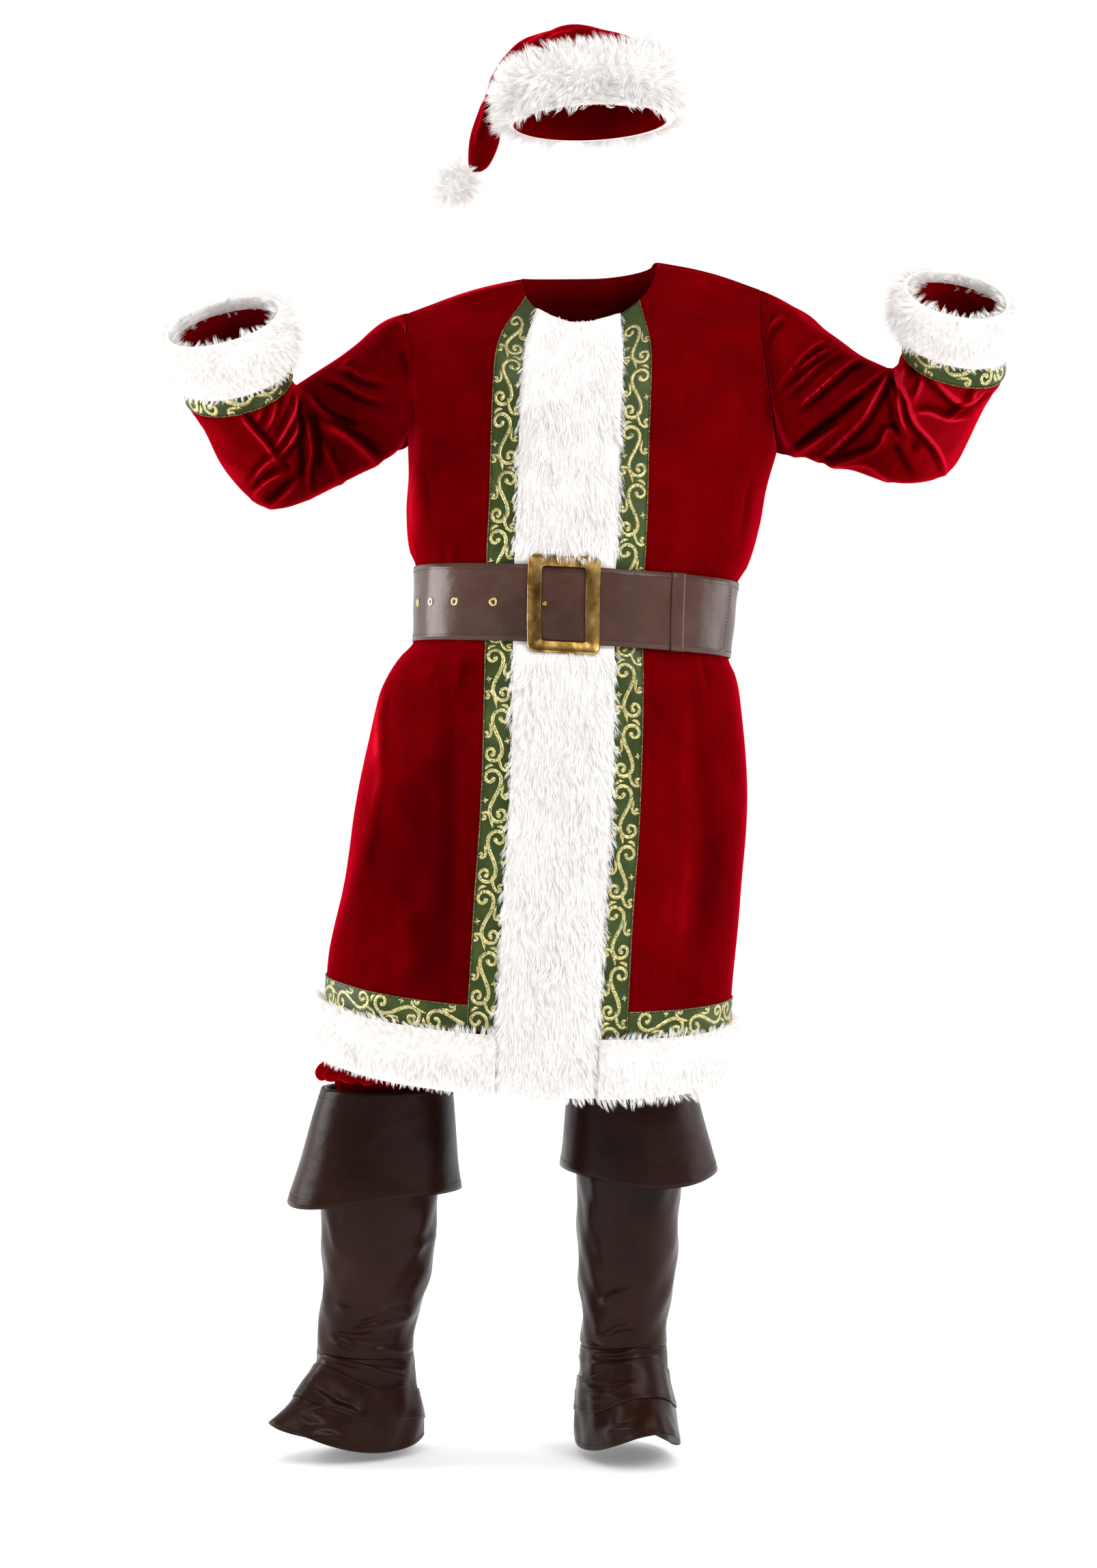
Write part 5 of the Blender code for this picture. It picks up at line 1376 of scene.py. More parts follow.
def build_front_fur():
    levels = np.concatenate([np.linspace(-0.991, HEM, 4)[:-1], FINE_LEVELS])
    columns = np.linspace(0.0, FUR_HALF, 9)
    points, normals, _ = coat_cloth("front", columns, levels)
    across = np.concatenate([-columns[::-1], columns[1:]])
    height = np.interp(np.abs(across), *np.array(FRONT_FUR).T)
    level = levels[:, None]
    belt = smooth(level, BELT_LOW - 0.012, BELT_LOW) * smooth(-level, -BELT_TOP - 0.014, -BELT_TOP)
    reach = height[None] * (1 + 0.4 * smooth(-level, 0.9, 0.95)) * BACKING["front"]
    reach = reach * (1 + 0.16 * drift(points, 0.03, 11))
    reach = reach * (1 - belt) + 0.0028 * belt
    way = DOWN * 1.0 + normals * 0.38 + 0.26 * swirl(points, 0.05, 21) + 0.15 * swirl(points, 0.016, 24)
    way[..., 0] += 0.5 * (np.abs(across / FUR_HALF) ** 3 * np.sign(across))[None]
    grows = np.where(belt > np.where(level < BELT_LOW, 0.92, 0.5), 0.0, 1.0)
    above_belt = smooth(level, BELT_TOP - 0.002, BELT_TOP)
    above_belt = above_belt * smooth(-level, -BELT_TOP - 0.026, -BELT_TOP - 0.004)
    near_edge = 1 - 0.3 * (np.abs(across / FUR_HALF) ** 4)[None]
    at_hem = smooth(-level, 0.955, 0.985)
    pile = (0.026 - 0.019 * above_belt - 0.011 * at_hem) * near_edge
    base, inner = lifted(points, normals, reach), lifted(points, normals, GAP)
    furred("fur_front_band", base, inner, way, pile, grows, 3, 0.0052)


def fur_hem(part, face, columns, sides, seed):
    levels = np.linspace(-0.993, FUR_TOP, 18)
    points, normals, _ = coat_cloth(face, columns, levels, sides)
    reach = np.interp(levels, *np.array(HEM_FUR).T)[:, None] * BACKING["hem"]
    reach = reach * (1 + 0.15 * drift(points, 0.04, 31))
    share = smooth(levels, -0.965, FUR_TOP)[:, None, None]
    way = DOWN * (1.1 - 2.2 * share) + normals * (0.65 + 0.25 * share) + 0.28 * swirl(points, 0.05, 41)
    pile = np.interp(points[..., 0], (-0.3, -0.08, 0.02), (0.018, 0.02, 0.017))
    short = 0.55 * smooth(-points[..., 0], 0.08, 0.16) * smooth(-levels, 0.976, 0.992)[:, None]
    base, inner = lifted(points, normals, reach), lifted(points, normals, GAP)
    furred("fur_hem_" + part, base, inner, way, pile * (1 - short), 1.0, seed)


def build_hem_fur():
    front = np.concatenate([[FUR_HALF, 0.08], np.linspace(1.0, 2.0, 34)])
    fur_hem("right", "front", front, ("right",), 5)
    fur_hem("left", "front", front, ("left",), 6)
    fur_hem("back", "back", np.linspace(1.0, 2.0, 40), ("right", "left"), 7)


# ---- ribbon trims

# Scroll motifs along one repeat of the ribbon: kind, 1 or -1 for its hand, place along and across,
# turn in degrees, size, half width of the stroke. Lengths are in millimetres.
SCROLL_REPEAT = 0.148
MOTIFS = (
    ("vine", 1, 36.0, 0.0, -27.0, 1.22, 2.3),
    ("vine", -1, 110.0, 0.0, 27.0, 1.22, 2.3),
    ("curl", 1, 67.5, -9.5, 196.0, 0.62, 1.8),
    ("curl", 1, 141.5, 9.5, 16.0, 0.62, 1.8),
    ("curl", 1, 30.0, 12.5, -10.0, 0.46, 1.6),
    ("curl", -1, 104.0, -12.5, 10.0, 0.46, 1.6),
    ("leaf", 1, 76.0, 9.0, 60.0, 12.0, 2.0),
    ("leaf", 1, 150.0, -9.0, 120.0, 12.0, 2.0),
    ("star", 1, 42.0, -12.5, 12.0, 9.0, 2.6),
    ("star", 1, 116.0, 12.5, 12.0, 9.0, 2.6),
)
# How fast a scroll's line turns from its middle to its end: share of its run, turn for each mm.
SCROLL_TURN = ((0.0, 0.0), (0.16, 0.03), (0.34, 0.095), (0.7, 0.155), (1.0, 0.36))
SCROLL_RUN = 60.0


def motif_line(kind):
    """Centre line of a motif, in mm for the scrolls and one unit long for the rest, and its width."""
    if kind == "leaf":
        t = np.linspace(-0.5, 0.5, 9)
        return np.stack([t, 0.22 * np.cos(math.pi * t)], axis=1), np.cos(math.pi * t) ** 0.7 + 0.02
    if kind == "star":
        t = np.linspace(-0.5, 0.5, 7)
        return np.stack([t, 0.0 * t], axis=1), 1.02 - (2 * np.abs(t)) ** 0.6
    start = -1.0 if kind == "vine" else -0.3
    half = np.linspace(0, 1, 37)
    t = np.concatenate([-half[(half > 0) & (half <= -start)][::-1], half])
    rate = np.interp(np.abs(t), *np.array(SCROLL_TURN).T) * (np.sign(t) if kind == "vine" else 1)
    heading = np.cumsum(rate * np.gradient(t)) * SCROLL_RUN
    heading -= np.interp(0.0, t, heading)
    steps = np.gradient(t)[:, None] * SCROLL_RUN
    line = np.cumsum(np.stack([np.cos(heading), np.sin(heading)], axis=1) * steps, axis=0)
    line -= (line.max(axis=0) + line.min(axis=0)) / 2
    knob = 0.8 + 0.2 * np.cos(t * math.pi / 2) + 0.45 * smooth(np.abs(t), 0.9, 0.96)
    ends = smooth(1.0 - np.abs(t), -0.006, 0.02) * smooth(t - start, -0.01, 0.25 if start > -1 else 0.02)
    return line, knob * ends


class Ribbon:
    """A strip of surface, first axis along it, second axis across it."""

    def __init__(self, points, normals):
        self.points = points
        self.normals = normals
        self.run = lengths(points[:, points.shape[1] // 2])
        self.wide = float(np.median(np.linalg.norm(points[:, -1] - points[:, 0], axis=1)))

    def at(self, along, across, lift):
        """Points of the surface at these distances along it and from its first edge, lifted."""
        rows = np.interp(along, self.run, np.arange(len(self.run)))
        columns = np.clip(across / self.wide, 0, 1) * (self.points.shape[1] - 1)
        r = np.minimum(rows.astype(int), len(self.run) - 2)
        c = np.minimum(columns.astype(int), self.points.shape[1] - 2)
        a, b = (rows - r)[..., None], (columns - c)[..., None]

        def read(grid):
            low = grid[r, c] * (1 - b) + grid[r, c + 1] * b
            return low * (1 - a) + (grid[r + 1, c] * (1 - b) + grid[r + 1, c + 1] * b) * a

        return lifted(read(self.points), unit(read(self.normals)), lift)


SCROLL_RISE = 0.0004
SCROLL_SINK = 0.0003
RIBBON_END = 0.001
RIBBON_SELVEDGE = 0.0008


def stroke_strips(ribbon, start, mirror):
    """Each motif's stroke in one repeat, as the parts of its two edges that lie on the ribbon."""
    for kind, hand, along, across, degrees, size, stroke in MOTIFS:
        for arm in range(2 if kind == "star" else 1):
            line, share = motif_line(kind)
            turn = math.radians(degrees + 90 * arm)
            spin = np.array(((math.cos(turn), -math.sin(turn)), (math.sin(turn), math.cos(turn))))
            path = (line * (1, hand) @ spin.T) * size + (along, across)
            if mirror:
                path[:, 1] *= -1
            way = unit(np.gradient(path, axis=0))
            side = np.stack([-way[:, 1], way[:, 0]], axis=1) * (stroke * share)[:, None]
            strip = np.stack([path - side, path + side], axis=1) / 1000
            strip += (start, ribbon.wide / 2)
            far = (ribbon.run[-1] - RIBBON_END, ribbon.wide - RIBBON_SELVEDGE)
            inside = ((strip > (RIBBON_END, RIBBON_SELVEDGE)) & (strip < far)).all(axis=(1, 2))
            kept = np.flatnonzero(inside)
            runs = np.split(kept, np.flatnonzero(np.diff(kept) > 1) + 1)
            yield from (strip[run] for run in runs if len(run) > 3)


def scrolls(name, ribbon, first, mirror):
    """Raised glitter scrolls along a ribbon, as one piece."""
    pieces = []
    for start in np.arange(first, ribbon.run[-1], SCROLL_REPEAT):
        for strip in stroke_strips(ribbon, start, mirror):
            levels = (GAP + TRIM_THICK + SCROLL_RISE, GAP + TRIM_THICK - SCROLL_SINK)
            top, under = (ribbon.at(strip[..., 0], strip[..., 1], up) for up in levels)
            pieces.append(wall("stroke", top, under, GLITTER))
    return finish_piece(joined(name, pieces), "trim")


def trim(node, points, normals, first, wrap=False, mirror=False):
    """A ribbon with scrolls, and a thread along its first edge."""
    ribbon = Ribbon(points, normals)
    cut = cut_size(points)
    outer, inner = (lifted(points, normals, height) for height in (GAP + TRIM_THICK, GAP))
    if wrap:
        outer, inner = outer[:-1].transpose(1, 0, 2), inner[:-1].transpose(1, 0, 2)
    piece = wall(node + "_ribbon", outer, inner, SATIN, wrap)
    shapes = scrolls(node + "_scrolls", ribbon, first, mirror)
    at_edge = np.full(len(ribbon.run), 0.0006)
    line = ribbon.at(ribbon.run, at_edge, GAP + TRIM_THICK + 0.0001)
    threads = finish_piece(tube_along(node + "_edge", line, 0.0009, EDGE_THREAD), "trim")
    finish_sheet(piece, "trim", node, cut)


def hem_trim(part, face, columns, sides, first):
    points, normals, _ = coat_cloth(face, columns, np.linspace(FUR_TOP, TRIM_TOP, 7), sides)
    points, normals = (grid[::-1].transpose(1, 0, 2) for grid in (points, normals))
    trim("trim_hem_" + part, points, normals, first)


def build_trims():
    tall = FINE_LEVELS[FINE_LEVELS >= FUR_TOP - 0.004]
    hem_columns = np.linspace(1.0, 2.0, 56)
    for side in ("right", "left"):
        points, normals, _ = coat_cloth("front", np.linspace(FUR_HALF, TRIM_EDGE, 8), tall, (side,))
        way = -1 if side == "left" else 1
        trim("trim_front_" + side, points[::-1, ::way], normals[::-1, ::way], 0.03, mirror=side == "left")
        hem_trim(side, "front", [TRIM_EDGE, *hem_columns[1:]], (side,), 0.01)
    hem_trim("back", "back", hem_columns, ("right", "left"), 0.02)


# ---- sleeves


def armhole(side):
    levels = ARMPIT * (1 - np.arange(ARMHOLE_FINE + 1) / ARMHOLE_FINE)
    front = coat_half(side, "front", (2.0,), levels)[:, 0]
    back = coat_half(side, "back", (2.0,), levels)[:, 0]
    return np.concatenate([front[::-1], back[1:-1]])


def sleeve_section(row, before, after, count):
    """A slightly squared ring, square to the way from the row before to the row after."""
    inner = np.array([row[0], row[4], row[1]])
    outer = np.array([row[2], row[4], row[3]])
    middle = (inner + outer) / 2
    tall = (inner - outer) / 2
    way = np.array([
        (after[0] + after[2] - before[0] - before[2]) / 2,
        after[4] - before[4],
        (after[1] + after[3] - before[1] - before[3]) / 2,
    ])
    deep = unit(np.cross(way, tall))
    if deep[1] > 0:
        deep = -deep
    turn = circle(count)
    cosine, sine = (np.sign(wave) * np.abs(wave) ** 0.93 for wave in (np.cos(turn), np.sin(turn)))
    return middle + cosine[:, None] * tall + sine[:, None] * deep * row[5]


@functools.cache
def sleeve_rings(side):
    table = SLEEVE_SECTIONS[side]
    rings = [armhole(side)]
    for i, row in enumerate(table):
        before = table[max(i - 1, 0)]
        after = table[min(i + 1, len(table) - 1)]
        rings.append(sleeve_section(row, before, after, 2 * ARMHOLE_FINE))
    return np.array(rings)


# Painted light and shade along a sleeve, its pile's colour made lighter or darker for how light falls: section
# number, share on the right one and on the left.
PAINTED_SLEEVE_SHADING = (
    (0.0, 0.0, 0.0),
    (1.0, -0.26, 0.0),
    (3.8, -0.5, -0.08),
    (5.2, -0.3, 0.12),
    (6.6, 0.28, 0.46),
    (8.4, 0.2, 0.42),
    (9.2, 0.0, 0.1),
)


def sleeve_cloth(side, places):
    """The sleeve's surface with its creases at these section numbers, and its normals."""
    points = sections_at(sleeve_rings(side), places)
    normals = tube_normals(points)
    rise, nap = both_faces(points, normals, "sleeve_%s_front" % side, "sleeve_%s_back" % side)
    rise += 0.0016 * drift(points, 0.07, 51 if side == "right" else 52)
    places = np.asarray(places, float)[:, None]
    free = smooth(places, 0.15, 0.9) * (1 - 0.85 * smooth(places, 8.7, 9.1))
    points = lifted(points, normals, rise * free)
    # Painted light and shade along the sleeve, added to that of its creases.
    keys, right, left = np.array(PAINTED_SLEEVE_SHADING).T
    lean = np.interp(places, keys, right if side == "right" else left)
    return points, tube_normals(points), nap * free + lean


def build_sleeves():
    for side, seed in (("right", 61), ("left", 71)):
        places = np.concatenate([np.linspace(0.0, 9.0, 188), np.linspace(9.0, SLEEVE_END, 12)[1:]])
        points, normals, nap = sleeve_cloth(side, places)
        cut = cut_size(points, wrap=True)
        points = sink_seams(points, normals, ("bottom",))
        cloth_piece("sleeve_" + side, points, normals, nap, cut, wrap=True)
        points, normals, _ = sleeve_cloth(side, np.linspace(*CUFF_TRIM, 9))
        points, normals = (closed(grid).transpose(1, 0, 2) for grid in (points, normals))
        trim("cuff_trim_" + side, points, normals, 0.01, wrap=True)
        build_cuff_fur(side, seed)


def build_cuff_fur(side, seed):
    keys, reaches = np.array(CUFF_FUR).T
    places = np.linspace(keys[0], keys[-1], 18)
    points, normals, _ = sleeve_cloth(side, places)
    reach = np.interp(places, keys, reaches)[:, None] * BACKING["cuff"]
    reach = reach * (1 + 0.14 * drift(points, 0.05, seed))
    along = unit(np.gradient(points, axis=0))
    share = smooth(places, 10.3, 11.2)[:, None, None]
    way = along * (-0.75 + 1.1 * share) + normals * 0.8 + 0.3 * swirl(points, 0.04, seed)
    base = lifted(points, normals, reach)
    inner = lifted(points, normals, 3.0 * GAP + TRIM_THICK + 0.0006)
    inward = along * 0.3 - normals * 0.8 + 0.2 * swirl(points, 0.05, seed)
    lining = (inward, smooth(places, 10.6, 10.9)[:, None])
    pile = np.interp(places, (places[0], 10.3, places[-1]), (0.01, 0.018, 0.017))[:, None]
    furred("cuff_fur_" + side, base, inner, way, pile, 1.0, seed, wrap=True, lining=lining)


# ---- hat

HAT_FINE = 108


@functools.cache
def hat_rings():
    turn = circle(HAT_FINE)
    rings = []
    for left_x, left_z, right_x, right_z, y, deep in HAT_SECTIONS:
        middle = np.array([(left_x + right_x) / 2, y, (left_z + right_z) / 2])
        wide = np.array([(left_x - right_x) / 2, 0.0, (left_z - right_z) / 2])
        back = np.array([0.0, deep, 0.0])
        rings.append(middle + np.cos(turn)[:, None] * wide - np.sin(turn)[:, None] * back)
    return np.array(rings)


def hat_cloth(places, creased=1.0):
    """The hat's surface at these section numbers. The fur's base has no creases."""
    points = sections_at(hat_rings(), places)
    normals = tube_normals(points)
    rise, nap = both_faces(points, normals, "hat_front", "hat_back")
    rise += 0.0022 * drift(points, 0.06, 81)
    free = creased * smooth(np.asarray(places, float)[:, None], 1.2, 2.0)
    points = lifted(points, normals, rise * free)
    # The creases' painted light and shade goes with the surface.
    return points, tube_normals(points), nap * free


def build_hat():
    points, normals, nap = hat_cloth(np.linspace(0.0, 12.0, 120))
    cut = cut_size(points, wrap=True)
    cloth_piece("hat_crown", points, normals, nap, cut, wrap=True)
    places = np.linspace(0.0, HAT_FUR[-1][0], 20)
    points, normals, _ = hat_cloth(places, 0.0)
    degrees = (360 - np.arange(HAT_FINE) * 360 / HAT_FINE) % 360
    pressed = np.clip(degrees / 14, 0, 1) * np.clip((84 - degrees) / 18, 0, 1)
    reach = np.interp(places, *np.array(HAT_FUR).T)[:, None] * (1 - 0.74 * pressed)[None] * BACKING["hat"]
    reach = np.maximum(reach * (1 + 0.12 * drift(points, 0.05, 83)), 0.003)
    along = unit(np.gradient(points, axis=0))
    share = smooth(places, 0.25, 1.1)[:, None, None]
    way = along * (-0.55 + 1.5 * share) + normals * 0.85 + 0.34 * swirl(points, 0.045, 84)
    pile = (0.02 - 0.005 * pressed)[None] + 0.007 * smooth(-places, -1.2, -0.2)[:, None]
    base, inner = lifted(points, normals, reach), lifted(points, normals, 2 * GAP)
    furred("hat_fur_band", base, inner, way, pile, 1.0, 9, wrap=True)
    build_pom()


def build_pom():
    tilt, turn = np.meshgrid(np.linspace(0.06, math.pi - 0.06, 20), circle(40), indexing="ij")
    normals = np.stack([np.sin(tilt) * np.cos(turn), np.sin(tilt) * np.sin(turn), np.cos(tilt)], axis=2)
    centre = np.array(POM_CENTRE)
    base = centre + normals * POM_RADIUS * BACKING["pom"]
    way = normals + 0.35 * swirl(base, 0.03, 91) + DOWN * 0.25
    fur = furred("hat_pom", base, centre + normals * 0.002, way, 0.024, 1.0, 10, 0.0052, wrap=True)


# ---- trousers

LEG_FINE = 32


def trouser_cloth(side, face, places):
    """A quarter of the trousers at these section numbers, from the centre or inner seam outwards."""
    sign = -1.0 if face == "front" else 1.0
    rows = []
    for row in sections_at(np.array(TROUSER_SECTIONS[side]), places):
        inner_x, outer_x, middle_y, front, back, z, turned = row
        turned = float(np.clip(turned, 0.0, 0.5))
        depth = front if face == "front" else back
        turn = np.linspace(math.acos(-turned / (1 - turned)), 0.0, LEG_FINE + 1)
        centre_x = inner_x + (outer_x - inner_x) * turned
        x = centre_x + (outer_x - centre_x) * np.cos(turn)
        rows.append(np.stack([x, middle_y + sign * depth * np.sin(turn), np.full_like(x, z)], axis=1))
    points = np.array(rows)
    normals = grid_normals(points)
    middle = points[:, [-1]] * 0.5 + points[:, [0]] * 0.5
    if (normals[len(places) // 2] * (points - middle)[len(places) // 2]).sum() < 0:
        normals = -normals
    gather = bell(np.asarray(places) - 9.6, 1.5)[:, None]
    angle = np.linspace(0.0, 1.0, LEG_FINE + 1)[None]
    edge = smooth(angle, 0.0, 0.06) * smooth(1 - angle, 0.0, 0.06)
    ripple = np.sin(angle * 46 + 2 * np.sin(angle * 9)) + 0.5 * np.sin(angle * 83 + 1)
    rise = (0.003 * gather * ripple + 0.003 * drift(points, 0.11, 95)) * edge
    rise[np.asarray(places) < 5.2] *= 0.6
    return lifted(points, normals, rise), normals


def build_trousers():
    places = np.concatenate([np.linspace(0, 6, 20), np.linspace(6, 12, 44)[1:]])
    for side in ("right", "left"):
        for face in ("front", "back"):
            points, normals = trouser_cloth(side, face, places)
            nap = np.zeros(points.shape[:2])
            name = "trouser_%s_%s" % (face, side)
            cloth_piece(name, points, normals, nap, cut_size(points))
    build_waistband()


def build_waistband():
    right, left = TROUSER_SECTIONS["right"][0], TROUSER_SECTIONS["left"][0]
    turn = circle(140)
    reach = np.where(np.cos(turn) > 0, left[1] - left[0], right[0] - right[1])
    depth = np.where(np.sin(turn) < 0, right[3], right[4])
    heights = np.linspace(GAP, 0.036, 6)
    x, y = right[0] + reach * np.cos(turn), depth * np.sin(turn)
    rings = np.array([np.stack([x, y, np.full_like(x, right[5] + h)], axis=1) for h in heights])
    normals = tube_normals(rings)
    belly = np.sin(math.pi * (heights - GAP) / heights[-1])[:, None]
    rings = lifted(rings, normals, 0.0014 * belly * np.sin(turn * 44)[None])
    nap = np.zeros(rings.shape[:2])
    cloth_piece("trouser_waistband", rings, normals, nap, cut_size(rings, wrap=True), wrap=True)


# ---- boot covers

BOOT_FINE = 88
CUFF_STITCH_ROWS = (2, 23)
FLAP_STITCH_ROW = 45
STRAP_ROWS = slice(16, 33)
STRAP_THICK = 0.0014


def boot_cloth(table, side, places):
    """Rings of a boot cover at these section numbers, turned the way its toe points."""
    ahead_x, ahead_y = BOOT_TURN[side]
    forward, sideways = np.array([ahead_x, ahead_y, 0.0]), np.array([-ahead_y, ahead_x, 0.0])
    cosine, sine = np.cos(circle(BOOT_FINE)), np.sin(circle(BOOT_FINE))
    ahead, behind = (np.clip(wave, 0, 1) ** 2 for wave in (cosine, -cosine))
    rings = []
    for x, y, front, back, wide, z_front, z_side, z_back in sections_at(np.array(table[side]), places):
        reach = np.where(cosine > 0, front, back) * cosine
        ring = np.array([x, y, 0.0]) + reach[:, None] * forward + (wide * sine)[:, None] * sideways
        ring[:, 2] = z_side + (z_front - z_side) * ahead + (z_back - z_side) * behind
        rings.append(ring)
    points = np.array(rings)
    return points, tube_normals(points)


def creased_boot(points, normals, side, amount):
    table = FOLDS["boot_" + side]
    rise, _ = creases(points, -normals[..., 1], table)
    back, _ = creases(points + (0.012, 0, 0.022), normals[..., 1], table)
    rise = (rise + 0.8 * back) * amount + 0.0016 * amount * drift(points, 0.05, 97)
    points = lifted(points, normals, rise)
    return points, tube_normals(points)


def ring_line(points, normals, row, lift):
    """A closed line of points on one row of a tube, and its normals."""
    grids = (points + normals * lift, normals)
    return [np.concatenate([grid[row], grid[row][:1]]) for grid in grids]


def leather(part, side, points, normals):
    node = "boot_%s_%s" % (part, side)
    piece = wall(node + "_leather", points, lifted(points, normals, -LEATHER), BOOT_LEATHER, wrap=True)
    finish_sheet(piece, "boot_leather", node, cut_size(points, wrap=True))


def build_boots():
    for side in ("right", "left"):
        places = np.linspace(0, 6, 84)
        points, normals = boot_cloth(BOOT_SHAFT, side, places)
        fade = (smooth(places, 1.0, 2.2) * (1 - smooth(places, 5.8, 6.0)))[:, None]
        points, normals = creased_boot(points, normals, side, fade)
        leather("shaft", side, points, normals)
        points, normals = boot_cloth(BOOT_CUFF, side, np.linspace(0, 2, 26))
        flare = np.linspace(0, 1, 26)[:, None]
        points = lifted(points, normals, 0.0035 * flare * drift(points, 0.16, 99))
        leather("cuff", side, points, normals)
        lines = [ring_line(points, normals, row, 0.0004) for row in CUFF_STITCH_ROWS]
        places = np.linspace(0, 3, 48)
        points, normals = boot_cloth(BOOT_FLAP, side, places)
        fade = (smooth(places, 0.0, 0.25) * (1 - 0.6 * smooth(places, 2.8, 3.0)))[:, None]
        points, normals = creased_boot(points, normals, side, fade)
        leather("flap", side, points, normals)
        lines.append(ring_line(points, normals, FLAP_STITCH_ROW, 0.0004))
        strap, outs = points[STRAP_ROWS], normals[STRAP_ROWS]
        over = GAP + STRAP_THICK
        outer, inner = lifted(strap, outs, over), lifted(strap, outs, GAP)
        piece = wall("boot_strap_%s_leather" % side, outer, inner, BOOT_LEATHER, wrap=True)
        finish_piece(piece, "boot_leather", "boot_strap_" + side)
        lines += [ring_line(strap, outs, row, over + 0.0002) for row in (2, 14)]
        finish_piece(stitched("boot_stitches_" + side, *zip(*lines)), "boot_leather")


# ---- belt

BELT_ROWS = 15


def belt_rest(at, face):
    """How far the strap stands off the coat at this distance from the centre line."""
    if face == "back":
        return np.full_like(at, 0.001)
    return np.interp(at, (0.0, FUR_HALF, TRIM_EDGE, TRIM_EDGE + 0.03), (FUR_REST, FUR_REST, 0.0024, 0.001))


def belt_run(side, face, columns, levels):
    """A stretch of the coat under the belt: points, normals and distance from the centre line."""
    points = coat_half(side, face, columns, levels)
    normals = grid_normals(points) * (1.0 if face == "front" else -1.0)
    if side == "right":
        points, normals = points[:, ::-1], normals[:, ::-1]
    total = lengths(row_curve(side, face, float(levels[len(levels) // 2])))[-1]
    return points, normals, column_places(face, columns, total)


def belt_path():
    """The strap's stretches from under the buckle, round the back and over itself to its tip.

    Each is its points and normals on the coat, how far it stands off, and its distance from the centre."""
    levels = np.linspace(BELT_LOW, BELT_TOP, BELT_ROWS)
    near = np.linspace(0.0, TRIM_EDGE, 19)
    far = np.linspace(1.0, 2.0, 34)
    runs = []
    for side, face, columns, rise in (
        ("left", "front", np.concatenate([near[7:-1], far]), 0.0),
        ("left", "back", far[::-1][1:], 0.0),
        ("right", "back", far[1:], 0.0),
        ("right", "front", np.concatenate([near[:-1], far[:-1]])[::-1], None),
        ("left", "front", np.concatenate([near[1:-1], far]), BELT_LAYER),
    ):
        ordered = np.sort(columns)
        points, normals, at = belt_run(side, face, ordered, levels)
        if columns[0] > columns[-1]:
            points, normals, at = points[:, ::-1], normals[:, ::-1], at[::-1]
        over = np.interp(at, (FUR_HALF, TRIM_EDGE), (BELT_LAYER, 0.0)) if rise is None else rise
        runs.append((points, normals, belt_rest(at, face) + over, at))
    return runs


TIP_LENGTH = 0.03


def build_belt():
    """The strap with its narrowed tip, eyelets and stitches, then its keeper and buckle."""
    runs = belt_path()
    keep = runs[-1][3] <= BELT_TIP
    runs[-1] = (runs[-1][0][:, keep], runs[-1][1][:, keep], runs[-1][2][keep], runs[-1][3][keep])
    points, normals = (np.concatenate([run[k] for run in runs], axis=1) for k in (0, 1))
    rest = np.concatenate([run[2] for run in runs])[None]
    tip = runs[-1][3] - (BELT_TIP - TIP_LENGTH)
    narrow = np.ones(points.shape[1])
    narrow[-len(tip):] = np.sqrt(1 - 0.62 * np.clip(tip / TIP_LENGTH, 0, 1) ** 3.2)
    middle = points[[BELT_ROWS // 2]]
    points = middle + (points - middle) * narrow[None, :, None]
    edge = np.abs(np.linspace(-1, 1, BELT_ROWS))[:, None]
    round_off = 0.0007 * np.clip((edge - 0.86) / 0.14, 0, 1) ** 2
    slack = 0.0009 * drift(points, 0.09, 101)
    slack += 0.0011 * bell(np.abs(points[..., 0] + 0.085) - 0.03, 0.02) * drift(points, 0.022, 102)
    outer = lifted(points, normals, rest + BELT_THICK + slack - round_off)
    piece = wall("belt_strap_leather", outer, lifted(points, normals, rest + slack), BELT_LEATHER)
    fit_eyelets(piece)
    finish_piece(piece, "belt_leather", "belt_strap")
    inset = int(round(0.0068 / (BELT_TOP - BELT_LOW) * (BELT_ROWS - 1)))
    raised = outer + normals * 0.0002
    stretches = [(row, slice(2, -1)) for row in (inset, BELT_ROWS - 1 - inset)]
    stretches.append((slice(inset, BELT_ROWS - inset), -2))
    lines, outs = ([grid[stretch] for stretch in stretches] for grid in (raised, normals))
    finish_piece(stitched("belt_stitches", lines, outs), "belt_leather")
    build_keeper()
    build_buckle()


def belt_place(side, column):
    """Point and normal of the coat's line behind the belt's middle."""
    near = np.array((column - 0.002, column, column + 0.002))
    levels = BELT_MIDDLE + np.array((-0.002, 0.0, 0.002))
    points = coat_half(side, "front", near, levels)
    return points[1, 1], grid_normals(points)[1, 1]


def turned(name, profile, centre, axis, material, count=28):
    """A solid turned about an axis from a closed profile of (radius, height)."""
    first = unit(np.cross(axis, (0.0, 0.0, 1.0)))
    second = np.cross(axis, first)
    turn = circle(count)[:, None]
    out = (np.cos(turn) * first + np.sin(turn) * second)[:, None]
    loop = np.array(profile)
    grid = centre + out * loop[None, :, [0]] + axis * loop[None, :, [1]]
    return add_piece(name, grid.reshape(-1, 3), ring_faces(count, len(loop), ends_meet=True), material)


